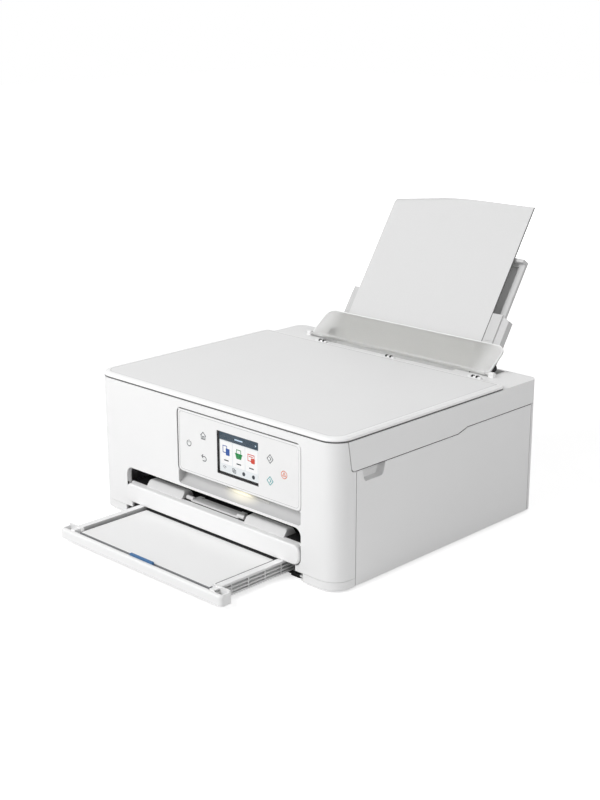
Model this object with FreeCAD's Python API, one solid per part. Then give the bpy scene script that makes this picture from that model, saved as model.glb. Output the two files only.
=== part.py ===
import FreeCAD
import Part
import math
import os

from FreeCAD import Vector

# Every size is in millimetres. The model is laid out from the body's left side (x), front face (y) and the
# desk (z), and is moved to its own origin when it is saved: the middle of its base.

# Clearances
seam_gap = 0.9
run_gap = 0.3
pin_gap = 0.05

# Body shell: the lid covers its front part, the deck behind it takes the rear feed
body_width = 376.0
lid_depth = 276.0
deck_depth = 63.0
body_depth = lid_depth + deck_depth
wall = 2.6
front_corner = 22.0
rear_corner = 12.0
mid_x = body_width / 2

# Paper
sheet_width = 210.0
sheet_length = 297.0
sheet_left = mid_x - sheet_width / 2
sheet_right = mid_x + sheet_width / 2

# Feet and bottom case
foot_height = 2.0
foot_length = 16.0
foot_width = 12.0
foot_inset_x = 57.0
foot_inset_y = 8.5
floor_thick = 2.0
floor_top = foot_height + floor_thick
skirt_base = 2.5
fascia_base = 12.0
skirt_width = 46.0

# Heights of the front, from the cassette's front piece up to the rim
front_piece_base = 5.5
front_piece_height = 10.8
bar_gap = 2.8
bar_height = 21.9
slot_clear = 18.8
slot_lip = 2.7
scoop_drop = 15.5
panel_height = 72.0
panel_drop = 9.7
front_piece_top = front_piece_base + front_piece_height
bar_base = front_piece_top + bar_gap
bar_top = bar_base + bar_height
slot_top = bar_top + slot_clear
scoop_base = slot_top + slot_lip
panel_base = scoop_base + scoop_drop
panel_top = panel_base + panel_height
rim_height = panel_top + panel_drop

# Seams between the front fascia, the side covers and the scanner unit
fascia_return = 29.0
side_base = 3.0
scanner_height = 33.1
jog_rise = 4.6
jog_length = 16.0
jog_from_rear = 147.0
seam_front = rim_height - scanner_height
seam_rear = seam_front + jog_rise
jog_start = body_depth - jog_from_rear
jog_end = jog_start + jog_length
seam_top_y = 17.0
seam_low_y = 21.5
seam_bend = 3.0
rear_cover_start = body_depth - rear_corner

# Grip recess in each side cover
grip_front = 37.4
grip_length = 36.5
grip_height = 13.6
grip_slope = 4.5
grip_corner = 4.0
grip_depth = 9.0
grip_rear = grip_front + grip_length

# Paper slot
slot_margin = 34.0
slot_left = sheet_left - slot_margin
slot_right = sheet_right + slot_margin
slot_corner = 9.0
slot_rim = 6.6
slot_rim_wall = 2.2

# Control panel
panel_width = 187.0
panel_right = slot_right
panel_left = panel_right - panel_width
panel_depth = 9.0
panel_corner = 6.0
panel_edge = 1.5
panel_face = 2.2
panel_wall = 2.4
panel_pin = 1.0
panel_pin_reach = 1.6
film_margin = 3.0
film_thick = 0.7
film_corner = 4.0
film_fit = 0.15
key_radius = 3.0
key_gap = 0.2
key_length = 4.0
key_flange = 1.5

# Keys: from the panel's left or right edge, and up from its base
left_keys = {
    "power_key": (18.3, 35.0),
    "home_key": (41.4, 48.2),
    "back_key": (42.2, 23.5),
}
right_keys = {
    "mono_start_key": (43.6, 46.8),
    "colour_start_key": (43.8, 22.9),
    "stop_key": (23.5, 34.5),
}
key_places = {name: (panel_left + x, panel_base + z) for name, (x, z) in left_keys.items()}
key_places.update({name: (panel_right - x, panel_base + z) for name, (x, z) in right_keys.items()})

# Display, between the home key and the first start key
screen_width = 63.0
screen_height = 48.0
screen_rise = 12.0
screen_offset = 2.1
screen_frame = 1.5
screen_depth = 6.0
screen_middle = (key_places["home_key"][0] + key_places["mono_start_key"][0]) / 2 + screen_offset
screen_left = screen_middle - screen_width / 2
screen_base = panel_base + screen_rise

# Scoop under the panel, and its lit strip
scoop_radius = 17.5
scoop_centre_y = -6.0
scoop_centre_z = scoop_base + math.sqrt(scoop_radius ** 2 - scoop_centre_y ** 2)
scoop_block = 14.0
light_length = 66.0
light_from_right = 87.0
light_rise = 7.5
light_height = 2.5
light_depth = 3.6
light_centre = panel_right - light_from_right
light_base = scoop_base + light_rise

# Output tray and its extension
bar_front = 3.0
bar_depth = 10.0
bar_corner = 8.0
bar_edge = 2.0
tray_plate = 2.6
tray_rear = 92.0
tray_inset = 3.0
rest_overlap = 5.0
rest_width = 60.0
rest_height = 8.0
rest_slope = 6.0
rest_length = 14.0
rest_round = 3.0
rest_left = sheet_left - rest_overlap
extension_half = 38.0
extension_length = 58.0
extension_thick = 2.2
extension_front = 8.0
extension_left = mid_x - extension_half
hub_radius = 2.4
hub_length = 8.0
tray_travel = 85.0
extension_travel = 45.0

# Bay walls that carry the output tray
bay_wall = 4.7
bay_ledge = 14.0
ledge_thick = 3.4
bay_front = 20.0
bay_from_pickup = 15.0

# Cassette, pulled out at rest
cassette_out = 95.5
cassette_travel = 104.0
cassette_base = 4.4
cassette_floor = 2.0
cassette_wall = 6.6
cassette_skin = 1.8
cassette_side_gap = 4.4
cassette_rear_wall = 7.0
cassette_tail = 4.5
rib = 1.2
rib_rows = 3
rib_columns = 13
stack_drop = 0.6
front_groove = 3.6
front_depth = 4.5
front_overhang = 25.0
front_piece_corner = 4.0
front_piece_half = sheet_width / 2 + front_overhang
guide_lip = 1.0
guide_blade = 2.0
guide_step = 1.2
guide_groove = 1.0
guide_start = 7.0
guide_length = 150.0
guide_travel = 1.8
flange_start = 4.2
flange_thick = 2.2
flange_inset = 0.5
lever_length = 36.0
lever_thick = 2.6
lever_offset = 15.0
lever_drop = 9.8
lever_travel = 10.0
lever_left = mid_x - lever_offset
lever_top = bar_base - run_gap
cassette_top = bar_base - 2 * run_gap - guide_lip
floor_rib = 2.7
floor_rib_top = 10.0

# Electrics, in the rear of the body
supply_length = 78.0
supply_width = 30.0
supply_height = 54.0
supply_vents = 8
supply_room = 5.0
inlet_width = 20.0
inlet_height = 16.0
inlet_base = 20.0
inlet_length = 21.0
socket_depth = 11.0
socket_width = 14.0
socket_height = 8.4
board_thick = 1.6
board_standoff = 3.4
board_length = 84.0
board_rear_gap = 15.0
board_base = 20.0
board_height = 90.0
board_front = body_depth - board_rear_gap - board_length
port_left = 30.0
port_width = 12.5
port_base = 44.0
port_height = 12.0
port_length = 21.0
port_wall = 1.8
port_depth = 12.0
port_plate_margin = 8.0

# Chassis, in front of the power supply
plate_inset = 12.0
plate_thick = 1.5
plate_length = 165.0
plate_top = 118.0
plate_rear = body_depth - inlet_length - supply_length - supply_room
plate_front = plate_rear - plate_length
plate_left = plate_inset + plate_thick
plate_right = body_width - plate_left
beam_from_rear = 9.0
beam_width = 26.0
beam_base = 84.0
beam_top = 92.0
beam_rear = plate_rear - beam_from_rear
beam_front = beam_rear - beam_width

# Print mechanism, set from the chassis
rail_from_beam = 10.0
rail_y = beam_front - rail_from_beam
rail_z = 86.0
rail_radius = 4.0
roller_z = 54.0
line_feed_from_rail = 37.0
roller_spacing = 49.0
line_feed_y = rail_y - line_feed_from_rail
exit_y = line_feed_y - roller_spacing
line_feed_radius = 6.0
exit_radius = 4.5
roller_shaft = 3.0
gear_teeth = 24
gear_width = 5.0
gear_bore = 2.0
gear_backlash = 0.35
gear_root = 1.2
gear_tip = 0.9
tooth_foot = 1.5
tooth_top = 0.55
gear_centre = roller_spacing / 2
roller_room = 1.0
platen_front = exit_y + exit_radius + 5.5 * roller_room
platen_rear = line_feed_y - line_feed_radius - roller_room
platen_top = 55.0
platen_thick = 5.0
platen_grooves = 14
carriage_width = 60.0
carriage_park = 2.5
carriage_overhang = 6.0
carriage_base = 62.0
carriage_height = 40.0
carriage_wall = 2.0
carriage_margin = 16.5
carriage_right = plate_right - carriage_park
carriage_left = carriage_right - carriage_width
carriage_front = exit_y - carriage_overhang
carriage_back = rail_y - 2 * rail_radius
carriage_travel = carriage_left - plate_left - carriage_margin
platen_end = carriage_left - roller_room
tank_count = 5
tank_height = 44.0
tank_gap = 0.6
head_inset = 8.0
head_height = 5.0
head_front = platen_front - 2 * roller_room
head_rear = platen_rear - 2 * roller_room
maintenance_base = 40.0
maintenance_gap = 0.6
maintenance_top = carriage_base - head_height - maintenance_gap
belt_margin = 16.5
belt_y = (beam_front + beam_rear) / 2
belt_left = plate_left + belt_margin
belt_right = plate_right - belt_margin
pulley_radius = 6.0
belt_thick = 1.0
belt_height = 5.0
motor_radius = 12.5
motor_height = 18.0
feed_motor_from_rear = 20.0
feed_motor_y = plate_rear - feed_motor_from_rear
feed_motor_z = 60.0
feed_motor_radius = 13.0
feed_motor_length = 26.0

# Pickup arm over the cassette
pickup_from_roller = 22.0
pickup_y = line_feed_y + pickup_from_roller
pickup_z = 34.0
pickup_shaft = 3.0
pickup_reach = 30.0
pickup_radius = 8.8
pickup_half = 9.7
arm_thick = 4.0
arm_half_height = 4.0
axle_radius = 2.0
bay_rear = pickup_y - bay_from_pickup

# Screws in the rear cover
screw_head = 3.0
screw_head_height = 1.6
screw_shank = 1.4
screw_length = 8.0
screw_offset = 88.0
screw_low = 20.0
screw_drop = 19.2
screw_rows = (screw_low, seam_rear - screw_drop)
screw_places = [(mid_x + side * screw_offset, z) for side in (-1, 1) for z in screw_rows]

# Hinge of the scanner unit, along the rear edge
lift_inset = 1.7
lift_y = body_depth - lift_inset
lift_z = seam_rear + seam_gap / 2
lift_barrel = 2.4
lift_pin = 1.3
lift_left = 20.0
lift_knuckle = 8.0
lift_chamfer = 2.0

# Scanner unit
scan_depth = 25.7
scan_floor = 2.5
scan_floor_base = rim_height - scan_depth
glass_thick = 3.0
glass_depth = 2.7
glass_fit = 0.3
bed_left = 30.0
bed_front = 34.0
bed_rear = 14.0
bed_length = body_width - 2 * bed_left
bed_width = lid_depth - bed_front - bed_rear
bed_ledge = 8.0
cavity_margin = 12.0
cavity_margin_y = 6.0
cavity_drop = 2.0
deck_wall = 2.7
scan_shaft_radius = 3.0
scan_shaft_drop = 16.7
scan_shaft_z = rim_height - scan_shaft_drop
scan_bar_inset = 10.0
scan_bar_width = 18.0
scan_bar_clear = 1.5
scan_margin = 20.0
scan_bar_left = bed_left + scan_bar_inset
scan_bar_base = scan_floor_base + scan_floor + scan_bar_clear
scan_travel = bed_length - scan_bar_inset - scan_bar_width - scan_margin

# Document lid
lid_gap = 1.2
lid_thick = 3.8
lid_edge = 2.2
lid_rear_corner = 8.0
pad_margin = 2.0
lid_axis_back = 2.6
lid_axis_rise = 3.7
lid_axis_y = lid_depth + lid_axis_back
lid_axis_z = rim_height + lid_axis_rise
lid_barrel = 2.2
lid_pin = 1.1
lid_hinge_offsets = (-95.0, 15.0, 143.0)
lid_hinges = [mid_x + offset for offset in lid_hinge_offsets]
lid_knuckle = 10.0
lid_ear = 3.7

# Rear paper: its front face crosses this height at this depth, and leans back
lean = 33.0
paper_inset = 14.5
paper_rise = 5.3
paper_y = body_depth - paper_inset
paper_z = rim_height + paper_rise
paper_above = 202.0
paper_stack = 1.5
paper_below = paper_above - sheet_length
paper_travel = 40.0

# Rear paper support, its pivots, its extension and the edge guides
support_left_margin = 9.5
support_right_margin = 25.0
support_left = sheet_left - support_left_margin
support_right = sheet_right + support_right_margin
support_top = 63.0
support_bottom = -28.0
support_thick = 8.9
support_tab = 16.0
support_slant = 11.0
support_slant_drop = 4.5
pivot_radius = 4.0
pivot_length = 7.0
pivot_s = -1.4
pivot_n = -0.3
rail_margin = 11.0
rail_inset = 4.0
support_extension_left = sheet_left + rail_inset
support_extension_right = sheet_right + rail_margin
support_extension_top = 137.0
support_extension_length = 137.0
support_extension_thick = 4.0
support_extension_hook = 8.0
support_extension_lip = 7.0
support_extension_floor = 1.2
support_extension_travel = 55.0
edge_guide_width = 14.7
edge_guide_narrow = 7.5
edge_guide_wall = 3.7
edge_guide_low = 4.0
edge_guide_step = 30.0
edge_guide_top = 64.0
edge_guide_rise = 0.0
edge_guide_proud = -0.4
edge_guide_round = 0.6
edge_guide_travel = 3.0

# Feed slot in the deck: a bay under the rear paper, and a throat in front of the cover
feed_bay_margin = 39.0
feed_bay_rear_wall = 4.0
throat_left_margin = 10.0
throat_right_margin = 8.0
throat_depth = 7.5
notch_drop = 6.7
bay_left = sheet_left - feed_bay_margin
feed_bay_rear = body_depth - feed_bay_rear_wall

# Rear feed frame and roller
feed_frame_thick = 3.0
feed_frame_bottom = -98.5
feed_frame_margin = 17.0
feed_frame_left = sheet_left - feed_frame_margin
feed_arm = 3.0
feed_ledge = 6.0
feed_roller_s = -80.0
feed_roller_radius = 8.4
feed_roller_gap = 0.6
feed_roller_shaft = 3.0
feed_drum = 30.0
feed_drum_offset = 38.0

# Feed slot cover, in front of the rear paper
cover_from_paper = 20.5
cover_rise = 3.3
cover_y = paper_y - cover_from_paper
cover_z = rim_height + cover_rise
cover_left_margin = 30.0
cover_right_margin = 38.5
cover_left = sheet_left - cover_left_margin
cover_right = sheet_right + cover_right_margin
cover_length = 41.4
cover_slope = 37.2
cover_thick = 2.0
cover_barrel = 2.0
cover_pin = 1.5
cover_wing = 12.0
cover_foot = 5.0
cover_ear = 7.0
cover_ear_wall = 1.2
feed_bay_front = cover_y - cover_barrel / 2

# Whole part: from the cassette's front to the top edge of the rear paper
part_front = -(cassette_out + front_groove + front_depth)
part_rear = paper_y + paper_above * math.sin(math.radians(lean)) + paper_stack * math.cos(math.radians(lean))
part_middle = (part_front + part_rear) / 2


def box(x0, x1, y0, y1, z0, z1):
    return Part.makeBox(x1 - x0, y1 - y0, z1 - z0, Vector(x0, y0, z0))


def rod_x(x0, x1, y, z, radius):
    return Part.makeCylinder(radius, x1 - x0, Vector(x0, y, z), Vector(1, 0, 0))


def rod_y(x, y0, y1, z, radius):
    return Part.makeCylinder(radius, y1 - y0, Vector(x, y0, z), Vector(0, 1, 0))


def rod_z(x, y, z0, z1, radius):
    return Part.makeCylinder(radius, z1 - z0, Vector(x, y, z0), Vector(0, 0, 1))


def side_prism(points, x0, x1):
    corners = [Vector(x0, y, z) for y, z in points]
    face = Part.Face(Part.makePolygon(corners + corners[:1]))
    return face.extrude(Vector(x1 - x0, 0, 0))


def rounded_face(u0, u1, v0, v1, r_low, r_high, place):
    bend = 1 - math.sqrt(0.5)
    corners = [(u0, v0, 1, 1, r_low), (u1, v0, -1, 1, r_low), (u1, v1, -1, -1, r_high), (u0, v1, 1, -1, r_high)]
    edges = []
    ends = []
    for turn, (u, v, su, sv, r) in enumerate(corners):
        along_u = place(u + su * r, v)
        along_v = place(u, v + sv * r)
        start, stop = (along_v, along_u) if turn % 2 == 0 else (along_u, along_v)
        edges.append(Part.Arc(start, place(u + su * r * bend, v + sv * r * bend), stop).toShape())
        ends.append((start, stop))
    for turn in range(len(corners)):
        stop = ends[turn][1]
        following = ends[(turn + 1) % len(corners)][0]
        edges.append(Part.LineSegment(stop, following).toShape())
    return Part.Face(Part.Wire(Part.__sortEdges__(edges)))


def rounded_plan(x0, x1, y0, y1, z0, z1, r_front, r_rear):
    face = rounded_face(x0, x1, y0, y1, r_front, r_rear, lambda u, v: Vector(u, v, z0))
    return face.extrude(Vector(0, 0, z1 - z0))


def rounded_front(x0, x1, z0, z1, y0, y1, r_low, r_high):
    face = rounded_face(x0, x1, z0, z1, r_low, r_high, lambda u, v: Vector(u, y0, v))
    return face.extrude(Vector(0, y1 - y0, 0))


def body_plan(inset, z0, z1):
    return rounded_plan(inset, body_width - inset, inset, body_depth - inset, z0, z1,
                        front_corner - inset, rear_corner - inset)


def body_ring(z0, z1):
    return body_plan(0, z0, z1).cut(body_plan(wall, z0 - wall, z1 + wall))


def mirrored(shape):
    return shape.mirror(Vector(mid_x, 0, 0), Vector(1, 0, 0))


def both_sides(shape):
    return shape.fuse(mirrored(shape))


def fillet_where(shape, radius, test):
    return shape.makeFillet(radius, [edge for edge in shape.Edges if test(edge.BoundBox)])


def on_slope(shape):
    turned = shape.copy()
    turned.rotate(Vector(0, 0, 0), Vector(1, 0, 0), 90 - lean)
    turned.translate(Vector(0, paper_y, paper_z))
    return turned


def slope_box(x0, x1, s0, s1, n0, n1):
    return on_slope(box(x0, x1, s0, s1, n0, n1))


def slope_rod(x0, x1, s, n, radius):
    return on_slope(rod_x(x0, x1, s, n, radius))


def fascia_side():
    low = fascia_return
    bend_y = seam_low_y + seam_bend
    return [(-wall, fascia_base), (low, fascia_base), (low, seam_front), (bend_y, seam_front),
            (seam_low_y, seam_front + seam_bend), (seam_top_y, rim_height), (-wall, rim_height)]


def scanner_side():
    low = seam_front + seam_gap
    rear = seam_rear + seam_gap
    bend_y = seam_low_y + seam_bend + seam_gap
    return [(seam_top_y + seam_gap, rim_height), (seam_low_y + seam_gap, low + seam_bend), (bend_y, low),
            (jog_start, low), (jog_end, rear), (body_depth - lift_chamfer, rear),
            (body_depth, rear + lift_chamfer), (body_depth, rim_height)]


def cover_side():
    start = fascia_return + seam_gap
    stop = rear_cover_start - seam_gap
    return [(start, side_base), (stop, side_base), (stop, seam_rear), (jog_end + seam_gap, seam_rear),
            (jog_start + seam_gap, seam_front), (start, seam_front)]


def bottom_case():
    floor = body_plan(wall, foot_height, floor_top)
    mouth_left = slot_left + wall
    floor = floor.cut(box(mouth_left, body_width - mouth_left, 0, foot_inset_y - run_gap, 0, fascia_base))
    skirt = body_ring(skirt_base, fascia_base - run_gap)
    skirt = skirt.common(box(0, skirt_width, 0, fascia_return, 0, fascia_base))
    ledge_top = bar_top - tray_plate - run_gap
    wall_right = slot_left - run_gap
    wall_left = wall_right - bay_wall
    bay = box(wall_left, wall_right, bay_front, bay_rear, floor_top, ledge_top)
    bay = bay.fuse(box(wall_left, wall_left + bay_ledge, bay_front, bay_rear, ledge_top - ledge_thick, ledge_top))
    rib_right = cassette_left() - run_gap
    guide = box(rib_right - floor_rib, rib_right, fascia_return, rear_cover_start, floor_top, floor_rib_top)
    return floor.fuse([both_sides(skirt), both_sides(bay), both_sides(guide)]).removeSplitter()


def rubber_feet():
    feet = []
    for left in (foot_inset_x, body_width - foot_inset_x - foot_length):
        for front in (foot_inset_y, body_depth - foot_inset_y - foot_width - wall):
            feet.append(rounded_plan(left, left + foot_length, front, front + foot_width, 0, foot_height,
                                     foot_width / 4, foot_width / 4))
    return Part.makeCompound(feet)


def front_fascia():
    shell = body_plan(0, fascia_base, rim_height).cut(body_plan(wall, 0, rim_height - wall))
    shell = shell.common(side_prism(fascia_side(), 0, body_width))
    grow = panel_wall + seam_gap
    block = rounded_front(panel_left - grow, panel_right + grow, scoop_base - panel_wall, panel_top + grow, 0,
                          scoop_block, panel_corner + grow, panel_corner + grow)
    rim = rounded_front(slot_left - slot_rim_wall, slot_right + slot_rim_wall, bar_base, slot_top + slot_rim_wall, 0,
                        slot_rim, bar_corner, slot_corner + slot_rim_wall)
    shell = shell.fuse([block, rim])
    opening = rounded_front(panel_left - seam_gap, panel_right + seam_gap, panel_base - seam_gap,
                            panel_top + seam_gap, -wall, scoop_block + wall, panel_corner, panel_corner + seam_gap)
    scoop = rod_x(panel_left, panel_right, scoop_centre_y, scoop_centre_z, scoop_radius)
    scoop = scoop.common(rounded_front(panel_left - seam_gap, panel_right + seam_gap, scoop_base, panel_base,
                                       scoop_centre_y, scoop_block, panel_corner, pin_gap))
    slot = rounded_front(slot_left, slot_right, bar_base - seam_gap, slot_top, -wall, slot_rim + wall,
                         bar_corner + seam_gap, slot_corner)
    mouth_half = front_piece_half + cassette_side_gap / 4
    mouth = box(mid_x - mouth_half, mid_x + mouth_half, -wall, slot_rim + wall, 0, bar_base + bar_corner)
    bore = rod_x(panel_left - panel_pin_reach - run_gap, panel_left + panel_corner, panel_edge,
                 panel_top - panel_edge, panel_pin + pin_gap)
    bore_right = rod_x(panel_right - panel_corner, panel_right + panel_pin_reach + run_gap, panel_edge,
                       panel_top - panel_edge, panel_pin + pin_gap)
    return shell.cut([opening, scoop, slot, mouth, bore, bore_right, light_pocket()]).removeSplitter()


def light_pocket():
    front = scoop_centre_y + math.sqrt(scoop_radius ** 2 - (scoop_centre_z - light_base) ** 2)
    return box(light_centre - light_length / 2, light_centre + light_length / 2, front, front + light_depth,
               light_base, light_base + light_height)


def status_light():
    return light_pocket()


def grip(depth, grow):
    top = seam_front + wall
    low = seam_front - grip_height - grow
    points = [(grip_front - grow, top), (grip_front + grip_slope - grow, low), (grip_rear - grip_slope + grow, low),
              (grip_rear + grow, top)]
    recess = side_prism(points, body_width - depth, body_width + wall)
    return fillet_where(recess, grip_corner + grow, lambda b: b.ZMax < low + pin_gap and b.XLength > depth)


def right_side_cover():
    profile = side_prism(cover_side(), body_width / 2, body_width)
    shell = body_ring(side_base, seam_rear + wall).common(profile)
    pocket = grip(grip_depth + wall, wall).common(profile).common(body_plan(wall / 2, side_base, seam_rear))
    return shell.fuse(pocket).cut(grip(grip_depth, 0)).removeSplitter()


def left_side_cover():
    cover = mirrored(right_side_cover())
    inset = board_length / 8
    posts = []
    for y in (board_front + inset, board_front + board_length - inset):
        for z in (board_base + inset, board_base + board_height - inset):
            posts.append(rod_x(wall, wall + board_standoff, y, z, wall))
    return cover.fuse(posts)


def lift_knuckles():
    step = lift_knuckle
    return [(lift_left, lift_left + step), (lift_left + 2 * step, lift_left + 3 * step)]


def rear_cover():
    profile = box(0, body_width, rear_cover_start, body_depth, side_base, seam_rear)
    shell = body_ring(side_base, seam_rear).common(profile)
    relief = box(lift_left + lift_knuckle - run_gap, lift_left + 2 * lift_knuckle + run_gap,
                 lift_y - lift_barrel - run_gap, body_depth + wall, lift_z - lift_barrel - run_gap, rim_height)
    barrels = [rod_x(x0, x1, lift_y, lift_z, lift_barrel) for x0, x1 in lift_knuckles()]
    barrels += [mirrored(barrel) for barrel in barrels]
    pins = hinge_pins().Solids
    shell = shell.cut([relief, mirrored(relief)]).fuse(barrels).cut(pins)
    holes = []
    for x, z in screw_places:
        holes.append(rod_y(x, body_depth - screw_length - wall, body_depth, z, screw_shank + pin_gap))
        holes.append(rod_y(x, body_depth - screw_head_height, body_depth, z, screw_head + run_gap))
    inlet = box(*inlet_box())
    return shell.cut(holes + [inlet, port_plate()]).removeSplitter()


def hinge_pins():
    pin = rod_x(lift_left, lift_left + 3 * lift_knuckle, lift_y, lift_z, lift_pin)
    return Part.makeCompound([pin, mirrored(pin)])


def case_screws():
    screws = []
    for x, z in screw_places:
        head = rod_y(x, body_depth - screw_head_height, body_depth, z, screw_head)
        slot = box(x - screw_head, x + screw_head, body_depth - screw_head_height / 2, body_depth,
                   z - screw_head_height / 4, z + screw_head_height / 4)
        shank = rod_y(x, body_depth - screw_head_height - screw_length, body_depth - screw_head_height, z, screw_shank)
        screws.append(head.cut(slot).fuse(shank))
    return Part.makeCompound(screws)


def shaft_bores(y, z, radius):
    return rod_x(0, body_width, y, z, radius + pin_gap)


def chassis_frame():
    plate = box(plate_inset, plate_left, plate_front, plate_rear, floor_top, plate_top)
    bores = [shaft_bores(line_feed_y, roller_z, roller_shaft), shaft_bores(exit_y, roller_z, roller_shaft),
             shaft_bores(pickup_y, pickup_z, pickup_shaft)]
    plates = [plate.cut(bores), mirrored(plate).cut(bores)]
    beam = box(plate_left, plate_right, beam_front, beam_rear, beam_base, beam_top)
    post = rod_z(belt_left, belt_y, beam_top, belt_base() + belt_height + belt_thick, pulley_radius)
    stud = rod_x(plate_inset - gear_width - 2 * belt_thick, plate_inset, line_feed_y - gear_centre, roller_z, gear_bore)
    return plates[0].fuse([plates[1], beam, post, stud]).removeSplitter()


def belt_base():
    return beam_top + motor_height + belt_thick


def carriage_rail():
    return rod_x(plate_left, plate_right, rail_y, rail_z, rail_radius)


def print_platen():
    plate = box(plate_left, platen_end, platen_front, platen_rear, platen_top - platen_thick, platen_top)
    grooves = []
    pitch = sheet_width / platen_grooves
    for index in range(platen_grooves):
        left = sheet_left + pitch * index + pitch / 4
        grooves.append(box(left, left + pitch / 2, platen_front + wall, platen_rear - wall, platen_top - wall,
                           platen_top))
    return plate.cut(grooves)


def gear_wheel(y, turn):
    pitch_radius = gear_centre / 2
    module = 2 * pitch_radius / gear_teeth
    root = pitch_radius - gear_root * module
    tip = pitch_radius + gear_tip * module
    tooth = math.pi * module / 2 - gear_backlash
    points = []
    for index in range(gear_teeth):
        middle = 2 * math.pi * (index + turn) / gear_teeth
        flanks = ((root, -tooth_foot), (tip, -tooth_top), (tip, tooth_top), (root, tooth_foot))
        for radius, share in flanks:
            angle = middle + share * tooth / 2 / radius
            points.append((y + radius * math.cos(angle), roller_z + radius * math.sin(angle)))
    return side_prism(points, plate_inset - gear_width - belt_thick, plate_inset - belt_thick)


def feed_shaft(y, radius, turn):
    shaft = rod_x(plate_inset - gear_width - belt_thick, body_width - plate_inset + belt_thick, y, roller_z,
                  roller_shaft)
    barrel = rod_x(plate_left + belt_thick, platen_end, y, roller_z, radius)
    return shaft.fuse([barrel, gear_wheel(y, turn)]).removeSplitter()


def line_feed_roller():
    return feed_shaft(line_feed_y, line_feed_radius, 0.5)


def exit_roller():
    return feed_shaft(exit_y, exit_radius, 0.5)


def idler_gear():
    y = line_feed_y - gear_centre
    return gear_wheel(y, 0).cut(rod_x(0, plate_inset, y, roller_z, gear_bore + pin_gap))


def print_carriage():
    left = carriage_left
    top = carriage_base + carriage_height
    tray = box(left, carriage_right, carriage_front, carriage_back, carriage_base, top)
    tray = tray.cut(box(left + carriage_wall, carriage_right - carriage_wall, carriage_front + carriage_wall,
                        carriage_back - carriage_wall, carriage_base + carriage_wall, top))
    sleeve = box(left, carriage_right, carriage_back - carriage_wall, rail_y + 2 * rail_radius,
                 rail_z - 2 * rail_radius, rail_z + 2 * rail_radius)
    belt_front = belt_y - pulley_radius - run_gap - belt_thick
    middle = (left + carriage_right) / 2
    clamp = box(middle - belt_height, middle + belt_height, rail_y, belt_front - run_gap, rail_z + rail_radius * 2,
                belt_base() + belt_height)
    clamp_foot = box(middle - belt_height, middle + belt_height, rail_y, rail_y + 2 * rail_radius,
                     rail_z + rail_radius, rail_z + rail_radius * 2)
    bore = rod_x(left, carriage_right, rail_y, rail_z, rail_radius + pin_gap)
    return tray.fuse([sleeve, clamp, clamp_foot]).cut(bore).removeSplitter()


def print_head():
    return box(carriage_left + head_inset, carriage_right - head_inset, head_front, head_rear,
               carriage_base - head_height, carriage_base)


def ink_tanks():
    left = carriage_left + carriage_wall
    pitch = (carriage_width - 2 * carriage_wall) / tank_count
    base = carriage_base + carriage_wall
    tanks = []
    for index in range(tank_count):
        x0 = left + pitch * index + tank_gap / 2
        tank = box(x0, x0 + pitch - tank_gap, carriage_front + 2 * carriage_wall, carriage_back - 2 * carriage_wall,
                   base, base + tank_height)
        tab = box(x0, x0 + pitch - tank_gap, carriage_front + 2 * carriage_wall, carriage_front + 8 * carriage_wall,
                  base + tank_height - 3 * carriage_wall, base + tank_height)
        tanks.append(tank.cut(tab))
    return Part.makeCompound(tanks)


def maintenance_unit():
    left = carriage_left
    unit = box(left, plate_right, head_front, head_rear, maintenance_base, maintenance_top)
    cap = box(left + head_inset, carriage_right - head_inset, head_front + wall, head_rear - wall,
              maintenance_top - wall, maintenance_top)
    return unit.cut(cap)


def carriage_motor():
    body = rod_z(belt_right, belt_y, beam_top, beam_top + motor_height, motor_radius)
    pulley = rod_z(belt_right, belt_y, beam_top + motor_height, belt_base() + belt_height + belt_thick, pulley_radius)
    return body.fuse(pulley)


def carriage_belt():
    inner = pulley_radius + run_gap
    outer = inner + belt_thick
    base = belt_base()
    loops = []
    for radius in (outer, inner):
        loop = box(belt_left, belt_right, belt_y - radius, belt_y + radius, base, base + belt_height)
        ends = [rod_z(x, belt_y, base, base + belt_height, radius) for x in (belt_left, belt_right)]
        loops.append(loop.fuse(ends).removeSplitter())
    return loops[0].cut(loops[1])


def feed_motor():
    can = rod_x(plate_left, plate_left + feed_motor_length, feed_motor_y, feed_motor_z, feed_motor_radius)
    return fillet_where(can, wall / 2, lambda b: b.XMin > plate_left + wall)


def pickup_arm():
    shaft = rod_x(plate_inset, body_width - plate_inset, pickup_y, pickup_z, pickup_shaft)
    axle_y = pickup_y + pickup_reach
    axle_z = pickup_axle_z()
    arms = []
    for side in (-1, 1):
        inner = mid_x + side * (pickup_half + run_gap)
        outer = inner + side * arm_thick
        x0, x1 = sorted((inner, outer))
        hub = rod_x(x0, x1, pickup_y, pickup_z, pickup_shaft + wall)
        tip = rod_x(x0, x1, axle_y, axle_z, axle_radius + wall)
        web = side_prism([(pickup_y, pickup_z - arm_half_height), (axle_y, axle_z - arm_half_height),
                          (axle_y, axle_z + arm_half_height), (pickup_y, pickup_z + arm_half_height)], x0, x1)
        bore = rod_x(x0, x1, axle_y, axle_z, axle_radius + pin_gap)
        arms.append(hub.fuse([tip, web]).cut(bore))
    return shaft.fuse(arms).removeSplitter()


def pickup_axle_z():
    return stack_top() + run_gap + pickup_radius


def pickup_roller():
    y = pickup_y + pickup_reach
    z = pickup_axle_z()
    tyre = rod_x(mid_x - pickup_half, mid_x + pickup_half, y, z, pickup_radius)
    reach = pickup_half + run_gap + arm_thick
    return tyre.fuse(rod_x(mid_x - reach, mid_x + reach, y, z, axle_radius)).removeSplitter()


def supply_box():
    right = body_width - wall - run_gap
    rear = body_depth - inlet_length
    return (right - supply_width, right, rear - supply_length, rear, floor_top, floor_top + supply_height)


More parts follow.
